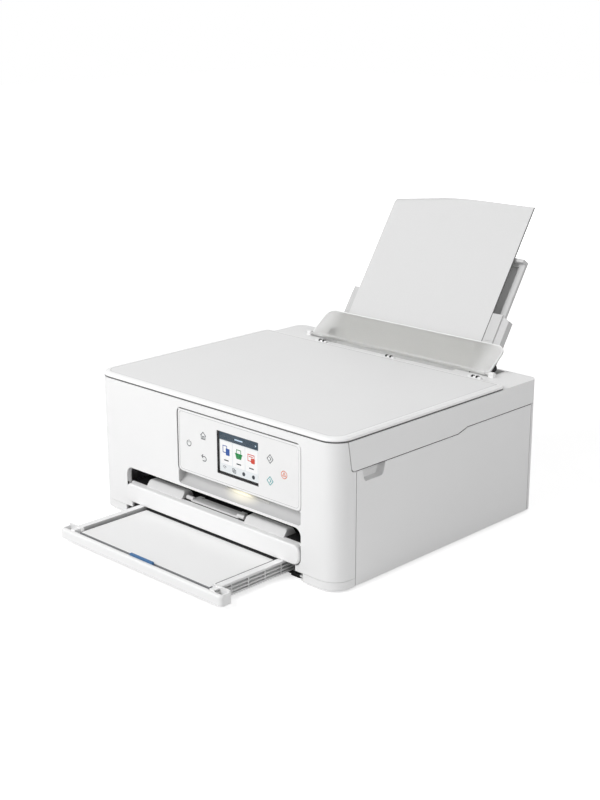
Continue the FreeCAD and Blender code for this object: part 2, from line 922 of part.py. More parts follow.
def power_supply():
    x0, x1, y0, y1, z0, z1 = supply_box()
    case = box(x0, x1, y0, y1, z0, z1)
    vents = []
    pitch = supply_length / (supply_vents + 1)
    for index in range(supply_vents):
        front = y0 + pitch * (index + 1) - pitch / 4
        vents.append(box(x0 + wall, x1 - wall, front, front + pitch / 2, z1 - wall, z1))
    return case.cut(vents)


def inlet_box():
    x0, x1, y0, y1, z0, z1 = supply_box()
    left = (x0 + x1 - inlet_width) / 2
    return (left, left + inlet_width, y1, body_depth, inlet_base, inlet_base + inlet_height)


def ac_inlet():
    x0, x1, y0, y1, z0, z1 = inlet_box()
    middle_x = (x0 + x1) / 2
    middle_z = (z0 + z1) / 2
    radius = socket_height / 2
    socket = rounded_front(middle_x - socket_width / 2, middle_x + socket_width / 2, middle_z - radius,
                           middle_z + radius, y1 - socket_depth, y1 + wall, radius - pin_gap, radius - pin_gap)
    shell = box(x0, x1, y0, y1, z0, z1).cut(socket)
    pins = [rod_y(middle_x + side * socket_width / 4, y0 + wall, y1 - wall, middle_z, wall / 2) for side in (-1, 1)]
    return shell.fuse(pins).removeSplitter()


def board_face():
    return wall + board_standoff


def main_board():
    face = board_face()
    return box(face, face + board_thick, board_front, board_front + board_length, board_base, board_base + board_height)


def port_box():
    return (port_left, port_left + port_width, body_depth - port_length, body_depth, port_base, port_base + port_height)


def port_plate():
    x0, x1, y0, y1, z0, z1 = port_box()
    return box(x0 - port_plate_margin, x1 + port_plate_margin, y1 - wall, y1, z0 - port_plate_margin,
               z1 + port_plate_margin)


def usb_port():
    x0, x1, y0, y1, z0, z1 = port_box()
    shell = box(x0, x1, y0, y1, z0, z1).fuse(port_plate())
    foot = box(board_face() + board_thick, x0, y0, board_front + board_length, z0, z1)
    hole = box(x0 + port_wall, x1 - port_wall, y1 - port_depth, y1, z0 + port_wall, z1 - port_wall)
    return shell.fuse(foot).cut(hole).removeSplitter()


def output_tray():
    fit = seam_gap + run_gap / 2
    bar = rounded_front(slot_left + fit, slot_right - fit, bar_base, bar_top, -bar_front, bar_depth - bar_front,
                        bar_corner, bar_corner)
    bar = fillet_where(bar, bar_edge, lambda b: b.YMax < -bar_front + pin_gap)
    left = slot_left + tray_inset
    plate = box(left, body_width - left, bar_depth - bar_front - wall, tray_rear, bar_top - tray_plate, bar_top)
    start = bar_depth - bar_front - wall
    top = bar_top + rest_height
    points = [(start, bar_top - wall), (start, bar_top), (start + rest_slope, top), (start + rest_length, top),
              (start + rest_length + rest_slope, bar_top - wall)]
    rest = side_prism(points, rest_left, rest_left + rest_width)
    rest = fillet_where(rest, rest_round, lambda b: b.ZMin > top - pin_gap)
    return bar.fuse([plate, rest, mirrored(rest)]).removeSplitter()


def output_extension():
    base = bar_top + run_gap
    right = body_width - extension_left
    plate = box(extension_left, right, extension_front, extension_front + extension_length, base,
                base + extension_thick)
    hub_y = extension_front + hub_radius
    hub = rod_x(extension_left - hub_length, extension_left + wall, hub_y, base + hub_radius, hub_radius)
    groove = box(extension_left + hub_length, right - hub_length, extension_front + hub_length,
                 extension_front + extension_length - hub_length, base + extension_thick / 2, base + extension_thick)
    return plate.cut(groove).fuse([hub, mirrored(hub)]).removeSplitter()


def cassette_left():
    return sheet_left - cassette_side_gap - cassette_wall


def cassette_front_y():
    return -cassette_out - front_groove


def cassette_rear_y():
    return -cassette_out + sheet_length + cassette_tail


def stack_top():
    return front_piece_top - stack_drop


def cassette_tray():
    left = cassette_left()
    front = cassette_front_y()
    rear = cassette_rear_y()
    floor = box(left, body_width - left, front, rear, cassette_base, cassette_base + cassette_floor)
    side = box(left, left + cassette_wall, front, rear, cassette_base, cassette_top)
    cell_length = (rear - front - rib) / rib_columns
    cell_height = (cassette_top - cassette_base - rib) / rib_rows
    cells = []
    for column in range(rib_columns):
        for row in range(rib_rows):
            y0 = front + rib + cell_length * column
            z0 = cassette_base + rib + cell_height * row
            cells.append(box(left - wall, left + cassette_wall - cassette_skin, y0, y0 + cell_length - rib, z0,
                             z0 + cell_height - rib))
    side = side.cut(cells)
    back = box(left, body_width - left, rear - cassette_skin, rear, cassette_base, cassette_base + cassette_rear_wall)
    flange_left = mid_x - front_piece_half + flange_inset
    flange_front = -cassette_out + flange_start
    flange_rear = flange_front + flange_thick
    flange_top = cassette_top + run_gap + guide_lip
    flange = box(flange_left, sheet_left - run_gap, flange_front, flange_rear, cassette_base, flange_top)
    flange_end = box(flange_left, flange_left + flange_thick, front, flange_rear, cassette_base, front_piece_top)
    pocket_floor = box(flange_left, left, front, flange_rear, cassette_base, cassette_base + cassette_floor)
    corner = flange.fuse([flange_end, pocket_floor])
    return floor.fuse([side, mirrored(side), back, corner, mirrored(corner)]).removeSplitter()


def cassette_front():
    rear = cassette_front_y()
    front = rear - front_depth
    left = mid_x - front_piece_half
    right = mid_x + front_piece_half
    piece = rounded_plan(left, right, front, rear + front_piece_corner, front_piece_base, front_piece_top,
                         front_piece_corner, front_piece_corner)
    piece = fillet_where(piece, lid_edge, lambda b: b.ZMin > front_piece_top - pin_gap)
    notch = box(left + wall, right - wall, front + wall, rear, front_piece_base - wall, front_piece_base + wall)
    return piece.common(box(left, right, front, rear, 0, front_piece_top)).cut(notch)


def cassette_paper():
    base = cassette_base + cassette_floor + run_gap
    return box(sheet_left, sheet_right, -cassette_out, -cassette_out + sheet_length, base, stack_top())


def cassette_guide_right():
    inner = sheet_right + run_gap
    outer = body_width - cassette_left()
    front = -cassette_out + guide_start
    rear = front + guide_length
    base = cassette_base + cassette_floor + run_gap
    top = cassette_top + run_gap + guide_lip
    blade = box(inner, inner + guide_blade, front, rear, base, stack_top() - guide_groove)
    riser = box(inner + guide_step, inner + guide_blade, front, rear, base, top)
    lip = box(inner + guide_step, outer, front, rear, cassette_top + run_gap, top)
    return blade.fuse([riser, lip]).removeSplitter()


def cassette_guide_left():
    return mirrored(cassette_guide_right())


def lock_lever():
    middle = -cassette_out - front_groove / 2
    lever = box(lever_left, lever_left + lever_length, middle - lever_thick / 2, middle + lever_thick / 2,
                lever_top - lever_drop, lever_top)
    return fillet_where(lever, lever_thick / 3, lambda b: b.ZMin > lever_top - pin_gap)


def scan_shape(margin, z0, z1):
    return box(bed_left - margin, bed_left + bed_length + margin, bed_front - margin, bed_front + bed_width + margin,
               z0, z1)


def glass_top():
    return rim_height - glass_depth


def cavity_box():
    top = glass_top() - glass_thick - cavity_drop
    return (bed_left - cavity_margin, bed_left + bed_length + cavity_margin, bed_front - cavity_margin_y,
            bed_front + bed_width + cavity_margin_y, scan_floor_base + scan_floor, top)


def scanner_housing():
    outer = body_plan(0, seam_front - wall, rim_height).common(side_prism(scanner_side(), 0, body_width))
    hollow_front = seam_low_y + seam_bend + 2 * wall
    under = body_plan(wall, 0, scan_floor_base).common(box(0, body_width, hollow_front, body_depth, 0, rim_height))
    cavity = box(*cavity_box())
    aperture = scan_shape(-bed_ledge, scan_floor_base + scan_floor, rim_height)
    pocket = scan_shape(0, glass_top() - glass_thick, rim_height + wall)
    feed_bay = box(bay_left, body_width - bay_left, feed_bay_front, feed_bay_rear, 0, rim_height + wall)
    throat = box(sheet_left - throat_left_margin, sheet_right - throat_right_margin, feed_bay_front - throat_depth,
                 feed_bay_rear, 0, rim_height + wall)
    notch_left = body_width - support_extension_right - seam_gap
    notch = box(notch_left, body_width - notch_left, feed_bay_front, body_depth + wall, rim_height - notch_drop,
                rim_height + wall)
    side_room = body_plan(wall, 0, rim_height - deck_wall)
    side_room = side_room.common(box(0, bay_left - deck_wall, lid_depth, body_depth, 0, rim_height))
    relief = box(lift_left - run_gap, lift_left + 3 * lift_knuckle + run_gap, lift_y - lift_barrel - 2 * run_gap,
                 body_depth + wall, 0, lift_z + lift_barrel + 2 * run_gap)
    shell = outer.cut([under, cavity, aperture, pocket, feed_bay, throat, notch, side_room, mirrored(side_room),
                       relief, mirrored(relief)])
    ears = [both_sides(lift_lug())] + [lid_ear_pair(x) for x in lid_hinges]
    ears.append(cover_lug(cover_left - seam_gap - cover_ear, cover_left - seam_gap))
    ears.append(cover_lug(cover_right + seam_gap, cover_right + seam_gap + cover_ear))
    return shell.fuse(ears).removeSplitter()


def lift_lug():
    x0 = lift_left + lift_knuckle + run_gap
    x1 = lift_left + 2 * lift_knuckle - run_gap
    web = box(x0, x1, lift_y - lift_barrel, body_depth, lift_z, lift_z + 3 * lift_barrel)
    barrel = rod_x(x0, x1, lift_y, lift_z, lift_barrel)
    return web.fuse(barrel).cut(rod_x(x0, x1, lift_y, lift_z, lift_pin + pin_gap))


def cover_lug(x0, x1):
    reach = cover_pin + cover_ear_wall
    lug = box(x0, x1, cover_y - reach, cover_y + reach, rim_height, cover_z)
    lug = lug.fuse(rod_x(x0, x1, cover_y, cover_z, reach))
    lug = lug.cut(box(x0, x1, cover_y - reach, cover_y + reach, 0, rim_height))
    bore = rod_x(cover_left - pin_depth(), cover_right + pin_depth(), cover_y, cover_z, cover_pin + pin_gap)
    return lug.cut(bore)


def pin_depth():
    return seam_gap + cover_ear / 2


def lid_ear_pair(x):
    ears = []
    for side in (-1, 1):
        inner = x + side * (lid_knuckle / 2 + run_gap)
        x0, x1 = sorted((inner, inner + side * lid_ear))
        foot = box(x0, x1, lid_axis_y - lid_barrel, lid_axis_y + lid_barrel, rim_height, lid_axis_z)
        barrel = rod_x(x0, x1, lid_axis_y, lid_axis_z, lid_barrel)
        ears.append(foot.fuse(barrel).cut(rod_x(x0, x1, lid_axis_y, lid_axis_z, lid_pin + pin_gap)))
    return Part.makeCompound(ears)


def platen_glass():
    return scan_shape(-glass_fit, glass_top() - glass_thick, glass_top())


def scan_shaft():
    x0, x1, y0, y1, z0, z1 = cavity_box()
    return rod_x(x0, x1, (y0 + y1) / 2, scan_shaft_z, scan_shaft_radius)


def scan_carriage():
    x0, x1, y0, y1, z0, z1 = cavity_box()
    bar = box(scan_bar_left, scan_bar_left + scan_bar_width, y0 + wall, y1 - wall, scan_bar_base, z1 - run_gap)
    lens = box(scan_bar_left + wall, scan_bar_left + scan_bar_width / 2, y0 + 4 * wall, y1 - 4 * wall,
               z1 - wall, z1)
    return bar.cut([lens, rod_x(x0, x1, (y0 + y1) / 2, scan_shaft_z, scan_shaft_radius + pin_gap)])


def document_lid():
    base = rim_height + lid_gap
    top = base + lid_thick
    lid = rounded_plan(0, body_width, 0, lid_depth, base, top, front_corner, lid_rear_corner)
    lid = fillet_where(lid, lid_edge, lambda b: b.ZMin > top - pin_gap)
    knuckles = []
    for x in lid_hinges:
        half = lid_knuckle / 2
        knuckles.append(rod_x(x - half, x + half, lid_axis_y, lid_axis_z, lid_barrel))
        knuckles.append(box(x - half, x + half, lid_depth - 2 * lid_edge, lid_axis_y, lid_axis_z - lid_pin,
                            lid_axis_z + lid_pin / 2))
        reach = half + run_gap + lid_ear
        knuckles.append(rod_x(x - reach, x + reach, lid_axis_y, lid_axis_z, lid_pin))
    return lid.fuse(knuckles).removeSplitter()


def document_pad():
    base = rim_height + lid_gap
    return scan_shape(-pad_margin, glass_top() + run_gap, base)


def panel_frame():
    frame = rounded_front(panel_left, panel_right, panel_base, panel_top, 0, panel_depth, panel_corner, panel_corner)
    frame = fillet_where(frame, panel_edge, lambda b: b.YMax < pin_gap)
    inner = film_margin - film_fit
    recess = rounded_front(panel_left + inner, panel_right - inner, panel_base + inner, panel_top - inner, -wall,
                           film_thick + film_fit, film_corner, film_corner)
    front = film_thick + film_fit + panel_face
    hollow = rounded_front(panel_left + panel_wall, panel_right - panel_wall, panel_base + panel_wall,
                           panel_top - panel_wall, front, panel_depth + wall, film_corner, film_corner)
    window = box(screen_left - screen_frame, screen_left + screen_width + screen_frame, 0, panel_depth,
                 screen_base - screen_frame, screen_base + screen_height + screen_frame)
    holes = [rod_y(x, 0, front, z, key_radius + key_gap) for x, z in key_places.values()]
    pins = rod_x(panel_left - panel_pin_reach, panel_right + panel_pin_reach, panel_edge, panel_top - panel_edge,
                 panel_pin)
    clear = box(panel_left + panel_corner, panel_right - panel_corner, -wall, panel_depth, panel_base, panel_top + wall)
    return frame.cut([recess, hollow, window] + holes).fuse(pins.cut(clear)).removeSplitter()


def panel_overlay():
    film = rounded_front(panel_left + film_margin, panel_right - film_margin, panel_base + film_margin,
                         panel_top - film_margin, film_fit, film_thick + film_fit, film_corner, film_corner)
    return film.cut(box(screen_left, screen_left + screen_width, -wall, panel_depth, screen_base,
                        screen_base + screen_height))


def display():
    back = film_thick + film_fit
    glass = box(screen_left + film_fit, screen_left + screen_width - film_fit, film_fit, back,
                screen_base + film_fit, screen_base + screen_height - film_fit)
    body = box(screen_left - screen_frame, screen_left + screen_width + screen_frame, back, screen_depth,
               screen_base - screen_frame, screen_base + screen_height + screen_frame)
    return glass.fuse(body)


def panel_key(x, z):
    front = film_thick + film_fit + run_gap
    flange = film_thick + film_fit + panel_face + run_gap
    stem = rod_y(x, front, front + key_length, z, key_radius)
    return stem.fuse(rod_y(x, flange, front + key_length, z, key_radius + key_flange)).removeSplitter()


def rear_paper():
    return slope_box(sheet_left, sheet_right, paper_below, paper_above, -paper_stack, 0)


def support_front():
    return -paper_stack - run_gap


def paper_support():
    front = support_front()
    back = front - support_thick
    left = support_left
    right = support_right
    slant_top = support_top - support_slant_drop
    outline = [(left, support_bottom), (right, support_bottom), (right, slant_top),
               (right - support_slant, support_top), (left + support_slant, support_top), (left, slant_top)]
    corners = [Vector(x, s, back) for x, s in outline]
    plate = Part.Face(Part.makePolygon(corners + corners[:1])).extrude(Vector(0, 0, support_thick))
    tabs = slope_box(bay_left, body_width - bay_left, support_bottom, support_bottom + support_tab, back, front)
    return on_slope(plate).fuse(tabs).removeSplitter()


def support_pivots():
    right_disc = slope_rod(support_right, support_right + pivot_length, pivot_s, pivot_n, pivot_radius)
    left_disc = slope_rod(support_left - pivot_length, support_left, pivot_s, pivot_n, pivot_radius)
    return Part.makeCompound([right_disc, left_disc])


def support_extension():
    face = support_front() - support_thick - run_gap
    back = face - support_extension_thick
    left = support_extension_left
    right = support_extension_right
    low = support_extension_top - support_extension_length
    plate = slope_box(left, right, low, support_extension_top, back, face)
    hook = slope_box(left, right, support_extension_top - support_extension_hook / 2, support_extension_top, face,
                     face + support_extension_lip)
    channel = slope_box(left + support_extension_hook, right - support_extension_hook, low + support_extension_hook,
                        support_extension_top - support_extension_hook, back + support_extension_floor, face)
    return plate.fuse(hook).cut(channel).removeSplitter()


def edge_guide(width):
    inner = sheet_right + run_gap
    outer = inner + width
    base = slope_box(inner, outer, edge_guide_low, edge_guide_top, -paper_stack, edge_guide_proud)
    block = box(inner + edge_guide_wall, outer, edge_guide_step, edge_guide_top, -paper_stack, edge_guide_rise)
    block = fillet_where(block, edge_guide_round, lambda b: b.ZMin > edge_guide_rise - pin_gap)
    return base.fuse(on_slope(block)).removeSplitter()


def paper_guide_right():
    return edge_guide(edge_guide_width)


def paper_guide_left():
    return mirrored(edge_guide(edge_guide_narrow))


def feed_roller_n():
    return feed_roller_radius + feed_roller_gap


def rear_feed_frame():
    front = support_front()
    left = feed_frame_left
    right = body_width - left
    plate = slope_box(left, right, feed_frame_bottom, support_bottom, front - feed_frame_thick, front)
    ledge = slope_box(left, right, feed_frame_bottom, paper_below - run_gap, front - feed_frame_thick, feed_ledge)
    reach = feed_roller_n() + 2 * feed_roller_shaft
    half = 3 * feed_roller_shaft
    arm = slope_box(left, left + feed_arm, feed_roller_s - half, feed_roller_s + half, front, reach)
    arm = arm.cut(slope_rod(left, left + feed_arm, feed_roller_s, feed_roller_n(), feed_roller_shaft + pin_gap))
    return plate.fuse([ledge, arm, mirrored(arm)]).removeSplitter()


def rear_feed_roller():
    n = feed_roller_n()
    left = feed_frame_left
    shaft = slope_rod(left, body_width - left, feed_roller_s, n, feed_roller_shaft)
    drum = slope_rod(mid_x - feed_drum_offset - feed_drum, mid_x - feed_drum_offset, feed_roller_s, n,
                     feed_roller_radius)
    return shaft.fuse([drum, mirrored(drum)]).removeSplitter()


def feed_slot_cover():
    right = cover_right
    plate = rounded_plan(cover_left, right, 0, cover_length, -cover_thick / 2, cover_thick / 2, cover_foot,
                         cover_wing)
    barrel = rod_x(cover_left + cover_foot, right - cover_foot, 0, 0, cover_barrel)
    pin_reach = pin_depth() - run_gap
    pins = [rod_x(cover_left - pin_reach, cover_left + cover_foot + cover_ear, 0, 0, cover_pin),
            rod_x(right - cover_foot - cover_ear, right + pin_reach, 0, 0, cover_pin)]
    cover = plate.fuse([barrel] + pins).removeSplitter()
    cover.rotate(Vector(0, 0, 0), Vector(1, 0, 0), cover_slope)
    cover.translate(Vector(0, cover_y, cover_z))
    return cover


def pieces():
    made = {
        "bottom_case": bottom_case(),
        "rubber_feet": rubber_feet(),
        "front_fascia": front_fascia(),
        "left_side_cover": left_side_cover(),
        "right_side_cover": right_side_cover(),
        "rear_cover": rear_cover(),
        "hinge_pins": hinge_pins(),
        "case_screws": case_screws(),
        "status_light": status_light(),
        "chassis_frame": chassis_frame(),
        "carriage_rail": carriage_rail(),
        "print_platen": print_platen(),
        "maintenance_unit": maintenance_unit(),
        "carriage_motor": carriage_motor(),
        "carriage_belt": carriage_belt(),
        "feed_motor": feed_motor(),
        "main_board": main_board(),
        "power_supply": power_supply(),
        "ac_inlet": ac_inlet(),
        "usb_port": usb_port(),
        "line_feed_roller": line_feed_roller(),
        "exit_roller": exit_roller(),
        "idler_gear": idler_gear(),
        "print_carriage": print_carriage(),
        "print_head": print_head(),
        "ink_tanks": ink_tanks(),
        "pickup_arm": pickup_arm(),
        "pickup_roller": pickup_roller(),
        "output_tray": output_tray(),
        "output_extension": output_extension(),
        "cassette_tray": cassette_tray(),
        "cassette_front": cassette_front(),
        "cassette_paper": cassette_paper(),
        "cassette_guide_left": cassette_guide_left(),
        "cassette_guide_right": cassette_guide_right(),
        "lock_lever": lock_lever(),
        "panel_frame": panel_frame(),
        "panel_overlay": panel_overlay(),
        "display": display(),
        "scanner_housing": scanner_housing(),
        "platen_glass": platen_glass(),
        "scan_shaft": scan_shaft(),
        "scan_carriage": scan_carriage(),
        "document_lid": document_lid(),
        "document_pad": document_pad(),
        "feed_slot_cover": feed_slot_cover(),
        "paper_support": paper_support(),
        "support_pivots": support_pivots(),
        "support_extension": support_extension(),
        "paper_guide_left": paper_guide_left(),
        "paper_guide_right": paper_guide_right(),
        "rear_paper": rear_paper(),
        "rear_feed_frame": rear_feed_frame(),
        "rear_feed_roller": rear_feed_roller(),
    }
    for name, (x, z) in key_places.items():
        made[name] = panel_key(x, z)
    return made


def main():
    os.makedirs("parts", exist_ok=True)
    for name, shape in pieces().items():
        shape.translate(Vector(-mid_x, -part_middle, 0))
        shape.exportStep("parts/" + name + ".step")
        print(name, len(shape.Solids), "solids,", round(shape.Volume / 1000, 2), "cm3, valid:", shape.isValid())


if __name__ == "__main__":
    main()
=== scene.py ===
import math
import bmesh
import bpy
from mathutils import Matrix, Vector


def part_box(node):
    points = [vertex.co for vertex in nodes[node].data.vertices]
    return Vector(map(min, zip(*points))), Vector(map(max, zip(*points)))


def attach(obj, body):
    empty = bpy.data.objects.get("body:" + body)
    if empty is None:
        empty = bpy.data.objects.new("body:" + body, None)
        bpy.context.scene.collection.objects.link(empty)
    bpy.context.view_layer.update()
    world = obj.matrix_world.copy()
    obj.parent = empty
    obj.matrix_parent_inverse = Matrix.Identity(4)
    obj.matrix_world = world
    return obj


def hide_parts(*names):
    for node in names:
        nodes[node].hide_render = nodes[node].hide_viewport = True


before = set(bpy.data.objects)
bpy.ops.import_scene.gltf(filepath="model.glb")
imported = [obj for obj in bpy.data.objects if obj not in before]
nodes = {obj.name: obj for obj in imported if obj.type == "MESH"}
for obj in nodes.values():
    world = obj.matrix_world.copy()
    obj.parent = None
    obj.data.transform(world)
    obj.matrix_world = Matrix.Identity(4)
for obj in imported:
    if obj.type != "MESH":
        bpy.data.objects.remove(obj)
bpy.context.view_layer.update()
mm = 0.001
print("frame loaded:", len(nodes), "nodes")

# sizes below are in millimetres from the body's left side, its front face and the desk
layout = {"left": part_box("rear_cover")[0].x, "front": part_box("front_fascia")[0].y, "width": 376.0}


def spot(x, y, z):
    return Vector((layout["left"] + x * mm, layout["front"] + y * mm, z * mm))


def linear(hexText):
    channels = [int(hexText[i:i + 2], 16) / 255 for i in (1, 3, 5)]
    return tuple(c / 12.92 if c <= 0.04045 else ((c + 0.055) / 1.055) ** 2.4 for c in channels) + (1.0,)


def addNode(tree, kind, settings=None, links=None):
    node = tree.nodes.new(kind)
    for key, value in (settings or {}).items():
        if isinstance(key, int) or key in node.inputs:
            node.inputs[key].default_value = value
        else:
            setattr(node, key, value)
    for key, socket in (links or {}).items():
        tree.links.new(socket, node.inputs[key])
    return node


def startMaterial(name):
    material = bpy.data.materials.new(name)
    material.use_nodes = True
    tree = material.node_tree
    tree.nodes.clear()
    shader = addNode(tree, "ShaderNodeBsdfPrincipled")
    addNode(tree, "ShaderNodeOutputMaterial", links={"Surface": shader.outputs[0]})
    coords = addNode(tree, "ShaderNodeTexCoord").outputs["Object"]
    return material, tree, shader, coords


def insideBox(tree, coords, low, high):
    middle = (spot(*low) + spot(*high)) / 2
    half = (spot(*high) - spot(*low)) / 2
    away = addNode(tree, "ShaderNodeVectorMath", {"operation": "SUBTRACT", 1: middle}, {0: coords})
    size = addNode(tree, "ShaderNodeVectorMath", {"operation": "ABSOLUTE"}, {0: away.outputs[0]})
    share = addNode(tree, "ShaderNodeVectorMath", {"operation": "DIVIDE", 1: half}, {0: size.outputs[0]})
    axes = addNode(tree, "ShaderNodeSeparateXYZ", links={0: share.outputs[0]})
    wide = addNode(tree, "ShaderNodeMath", {"operation": "MAXIMUM"}, {0: axes.outputs[0], 1: axes.outputs[1]})
    most = addNode(tree, "ShaderNodeMath", {"operation": "MAXIMUM"}, {0: wide.outputs[0], 1: axes.outputs[2]})
    return addNode(tree, "ShaderNodeMath", {"operation": "LESS_THAN", 1: 1.0}, {0: most.outputs[0]}).outputs[0]


# colours the surface inside each box it is given; most boxes here are painted shade
def paintAreas(tree, coords, tone, areas):
    for area in areas:
        mask = insideBox(tree, coords, area["low"], area["high"])
        tone = addNode(tree, "ShaderNodeMix", {"data_type": "RGBA", 7: linear(area["colour"])},
                       {0: mask, 6: tone}).outputs[2]
    return tone


# moulded plastics: an even skin whose fine grain breaks up the highlight, with a soft glint on each edge
def mouldedPlastic(name, spec):
    material, tree, shader, coords = startMaterial(name)
    cloud = addNode(tree, "ShaderNodeTexNoise", {"Scale": 1 / (spec["cloud"] * mm), "Detail": 2.0},
                    {"Vector": coords})
    tone = addNode(tree, "ShaderNodeMix", {"data_type": "RGBA", 6: linear(spec["colour"]), 7: linear(spec["shade"])},
                   {0: cloud.outputs["Fac"]}).outputs[2]
    tone = paintAreas(tree, coords, tone, spec.get("areas", []))
    grain = addNode(tree, "ShaderNodeTexNoise", {"Scale": 1 / (spec["grain"] * mm), "Detail": 3.0},
                    {"Vector": coords})
    gloss = addNode(tree, "ShaderNodeMapRange", {"To Min": spec["rough"][0], "To Max": spec["rough"][1]},
                    {"Value": grain.outputs["Fac"]})
    edges = addNode(tree, "ShaderNodeBevel", {"samples": 4, "Radius": spec["edge"] * mm})
    bump = addNode(tree, "ShaderNodeBump", {"Strength": 0.4, "Distance": spec["depth"] * mm},
                   {"Height": grain.outputs["Fac"], "Normal": edges.outputs[0]})
    tree.links.new(tone, shader.inputs["Base Color"])
    tree.links.new(gloss.outputs[0], shader.inputs["Roughness"])
    tree.links.new(bump.outputs[0], shader.inputs["Normal"])
    shader.inputs["IOR"].default_value = 1.53
    shader.inputs["Specular IOR Level"].default_value = spec.get("specular", 0.4)
    # a glow that fades from a middle: a painted pool of light on the front's scoop, the light pipe's own glow
    glow = spec.get("glow")
    if glow:
        away = addNode(tree, "ShaderNodeVectorMath", {"operation": "SUBTRACT", 1: spot(*glow["middle"])}, {0: coords})
        share = addNode(tree, "ShaderNodeVectorMath", {"operation": "DIVIDE", 1: Vector(glow["reach"]) * mm},
                        {0: away.outputs[0]})
        far = addNode(tree, "ShaderNodeVectorMath", {"operation": "LENGTH"}, {0: share.outputs[0]})
        fade = addNode(tree, "ShaderNodeMapRange", {"interpolation_type": "SMOOTHERSTEP", "To Min": glow["strength"],
                                                    "To Max": 0.0}, {"Value": far.outputs["Value"]})
        tree.links.new(fade.outputs[0], shader.inputs["Emission Strength"])
        shader.inputs["Emission Color"].default_value = linear(glow["colour"])
    return material


# injection-moulded ABS with a fine spark-eroded grain, drawn coarser than life so that it shows
sparkGrain = {"colour": "#f1f1f1", "shade": "#eeeeee", "cloud": 70, "grain": 0.9, "depth": 0.03,
              "rough": (0.42, 0.56), "edge": 0.6}
whiteAbs = mouldedPlastic("whiteAbsSparkGrain", sparkGrain)
# the same ABS on the front, with painted shade on its scoop below the panel and near-black painted shade behind the
# slot, and a painted pool of warm light round the strip in its scoop
frontAbsPaintedShadeAndGlow = mouldedPlastic("whiteAbsFrontPaintedShadeAndGlow", {
    **sparkGrain,
    "areas": [{"low": (137, 0.5, 61.5), "high": (330, 12.3, 79), "colour": "#c2c2c2"},
              {"low": (5, 12.2, 14), "high": (371, 60, 158), "colour": "#161617"}],
    "glow": {"middle": (232, 6, 70), "reach": (36, 16, 10), "colour": "#fff3c6", "strength": 0.4}})
# base moulding: white outside, black inside where the sheets run, which is painted shade, and black at the front feet
baseAbsPaintedShade = mouldedPlastic("whiteAbsBasePaintedShade", {
    **sparkGrain, "colour": "#efefef", "shade": "#ebebeb", "rough": (0.44, 0.58),
    "areas": [{"low": (12, 7, 4.2), "high": (364, 332, 80), "colour": "#141415"},
              {"low": (298, -1, 1.9), "high": (318, 12, 9), "colour": "#101011"},
              {"low": (58, -1, 1.9), "high": (78, 12, 9), "colour": "#101011"}]})
# satin ABS of the lid: smoother, with a clearer reflection
satin = {"colour": "#ededed", "shade": "#eaeaea", "cloud": 90, "grain": 1.1, "depth": 0.02, "rough": (0.36, 0.46),
         "edge": 0.6}
lidAbs = mouldedPlastic("whiteAbsSatin", satin)
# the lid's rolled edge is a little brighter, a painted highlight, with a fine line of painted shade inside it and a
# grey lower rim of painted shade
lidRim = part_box("document_lid")[0].z / mm
lidPaintedHighlightAndShade = mouldedPlastic("whiteAbsSatinPaintedHighlightAndShade", {
    **satin, "colour": "#fbfbfb", "shade": "#f8f8f8", "rough": (0.28, 0.36),
    "areas": [{"low": (-2, -2, lidRim + 0.02), "high": (378, 278, lidRim + 0.75), "colour": "#9c9c9c"}]})
lidPaintedShadeLine = mouldedPlastic("whiteAbsSatinPaintedShadeLine", {**satin, "colour": "#d9d9d9", "shade": "#d6d6d6",
                                                 "rough": (0.4, 0.5)})
# polished ABS of the panel, with painted shade on its left and top edges
panelAbsPaintedShade = mouldedPlastic("whiteAbsPolishedPaintedShade", {
    "colour": "#f2f2f2", "shade": "#efefef", "cloud": 60, "grain": 1.2, "depth": 0.01, "rough": (0.22, 0.3),
    "edge": 0.5, "areas": [{"low": (138, -1, 77), "high": (141.0, 9.5, 151), "colour": "#868686"},
                           {"low": (138, -1, 149.3), "high": (329, 9.5, 151), "colour": "#868686"}]})
# output tray: white bar at the front, light grey rests behind it, and painted shade darkening the plate under them
trayAbsPaintedShade = mouldedPlastic("greyAbsTrayPaintedShade", {
    **sparkGrain, "colour": "#d6d6d6", "shade": "#d2d2d2", "cloud": 60, "rough": (0.45, 0.6),
    "areas": [{"low": (30, -6, 15), "high": (346, 6.9, 41.2), "colour": "#f1f1f1"},
              {"low": (30, 6.9, 15), "high": (346, 97, 41.1), "colour": "#1a1a1b"}]})
# the tray's pull-out extension: the same grey, with dark painted shade where it stays inside
extensionAbsPaintedShade = mouldedPlastic("greyAbsExtensionPaintedShade", {
    **sparkGrain, "colour": "#d9d9d9", "shade": "#d5d5d5", "cloud": 60, "rough": (0.45, 0.6), "edge": 0.5,
    "areas": [{"low": (130, 22, 30), "high": (246, 80, 60), "colour": "#1a1a1b"}]})
# cassette: white, with light painted shade between the ribs of its sides
cassetteAbsPaintedShade = mouldedPlastic("whiteAbsCassettePaintedShade", {
    **sparkGrain, "rough": (0.44, 0.58), "edge": 0.5,
    "areas": [{"low": (60, -89, 4), "high": (77.2, 206, 17.2), "colour": "#dcdcdc"},
              {"low": (298.8, -89, 4), "high": (316, 206, 17.2), "colour": "#dcdcdc"}]})
# the sheet guides: white, with a strip of painted shade on the side that meets the paper
guideAbsPaintedShade = mouldedPlastic("whiteAbsGuidePaintedShade", {
    **sparkGrain, "rough": (0.44, 0.58), "edge": 0.4,
    "areas": [{"low": (80.2, -90, 4), "high": (83.2, 68, 19), "colour": "#a8a8a8"},
              {"low": (292.8, -90, 4), "high": (295.8, 68, 19), "colour": "#58595b"}]})
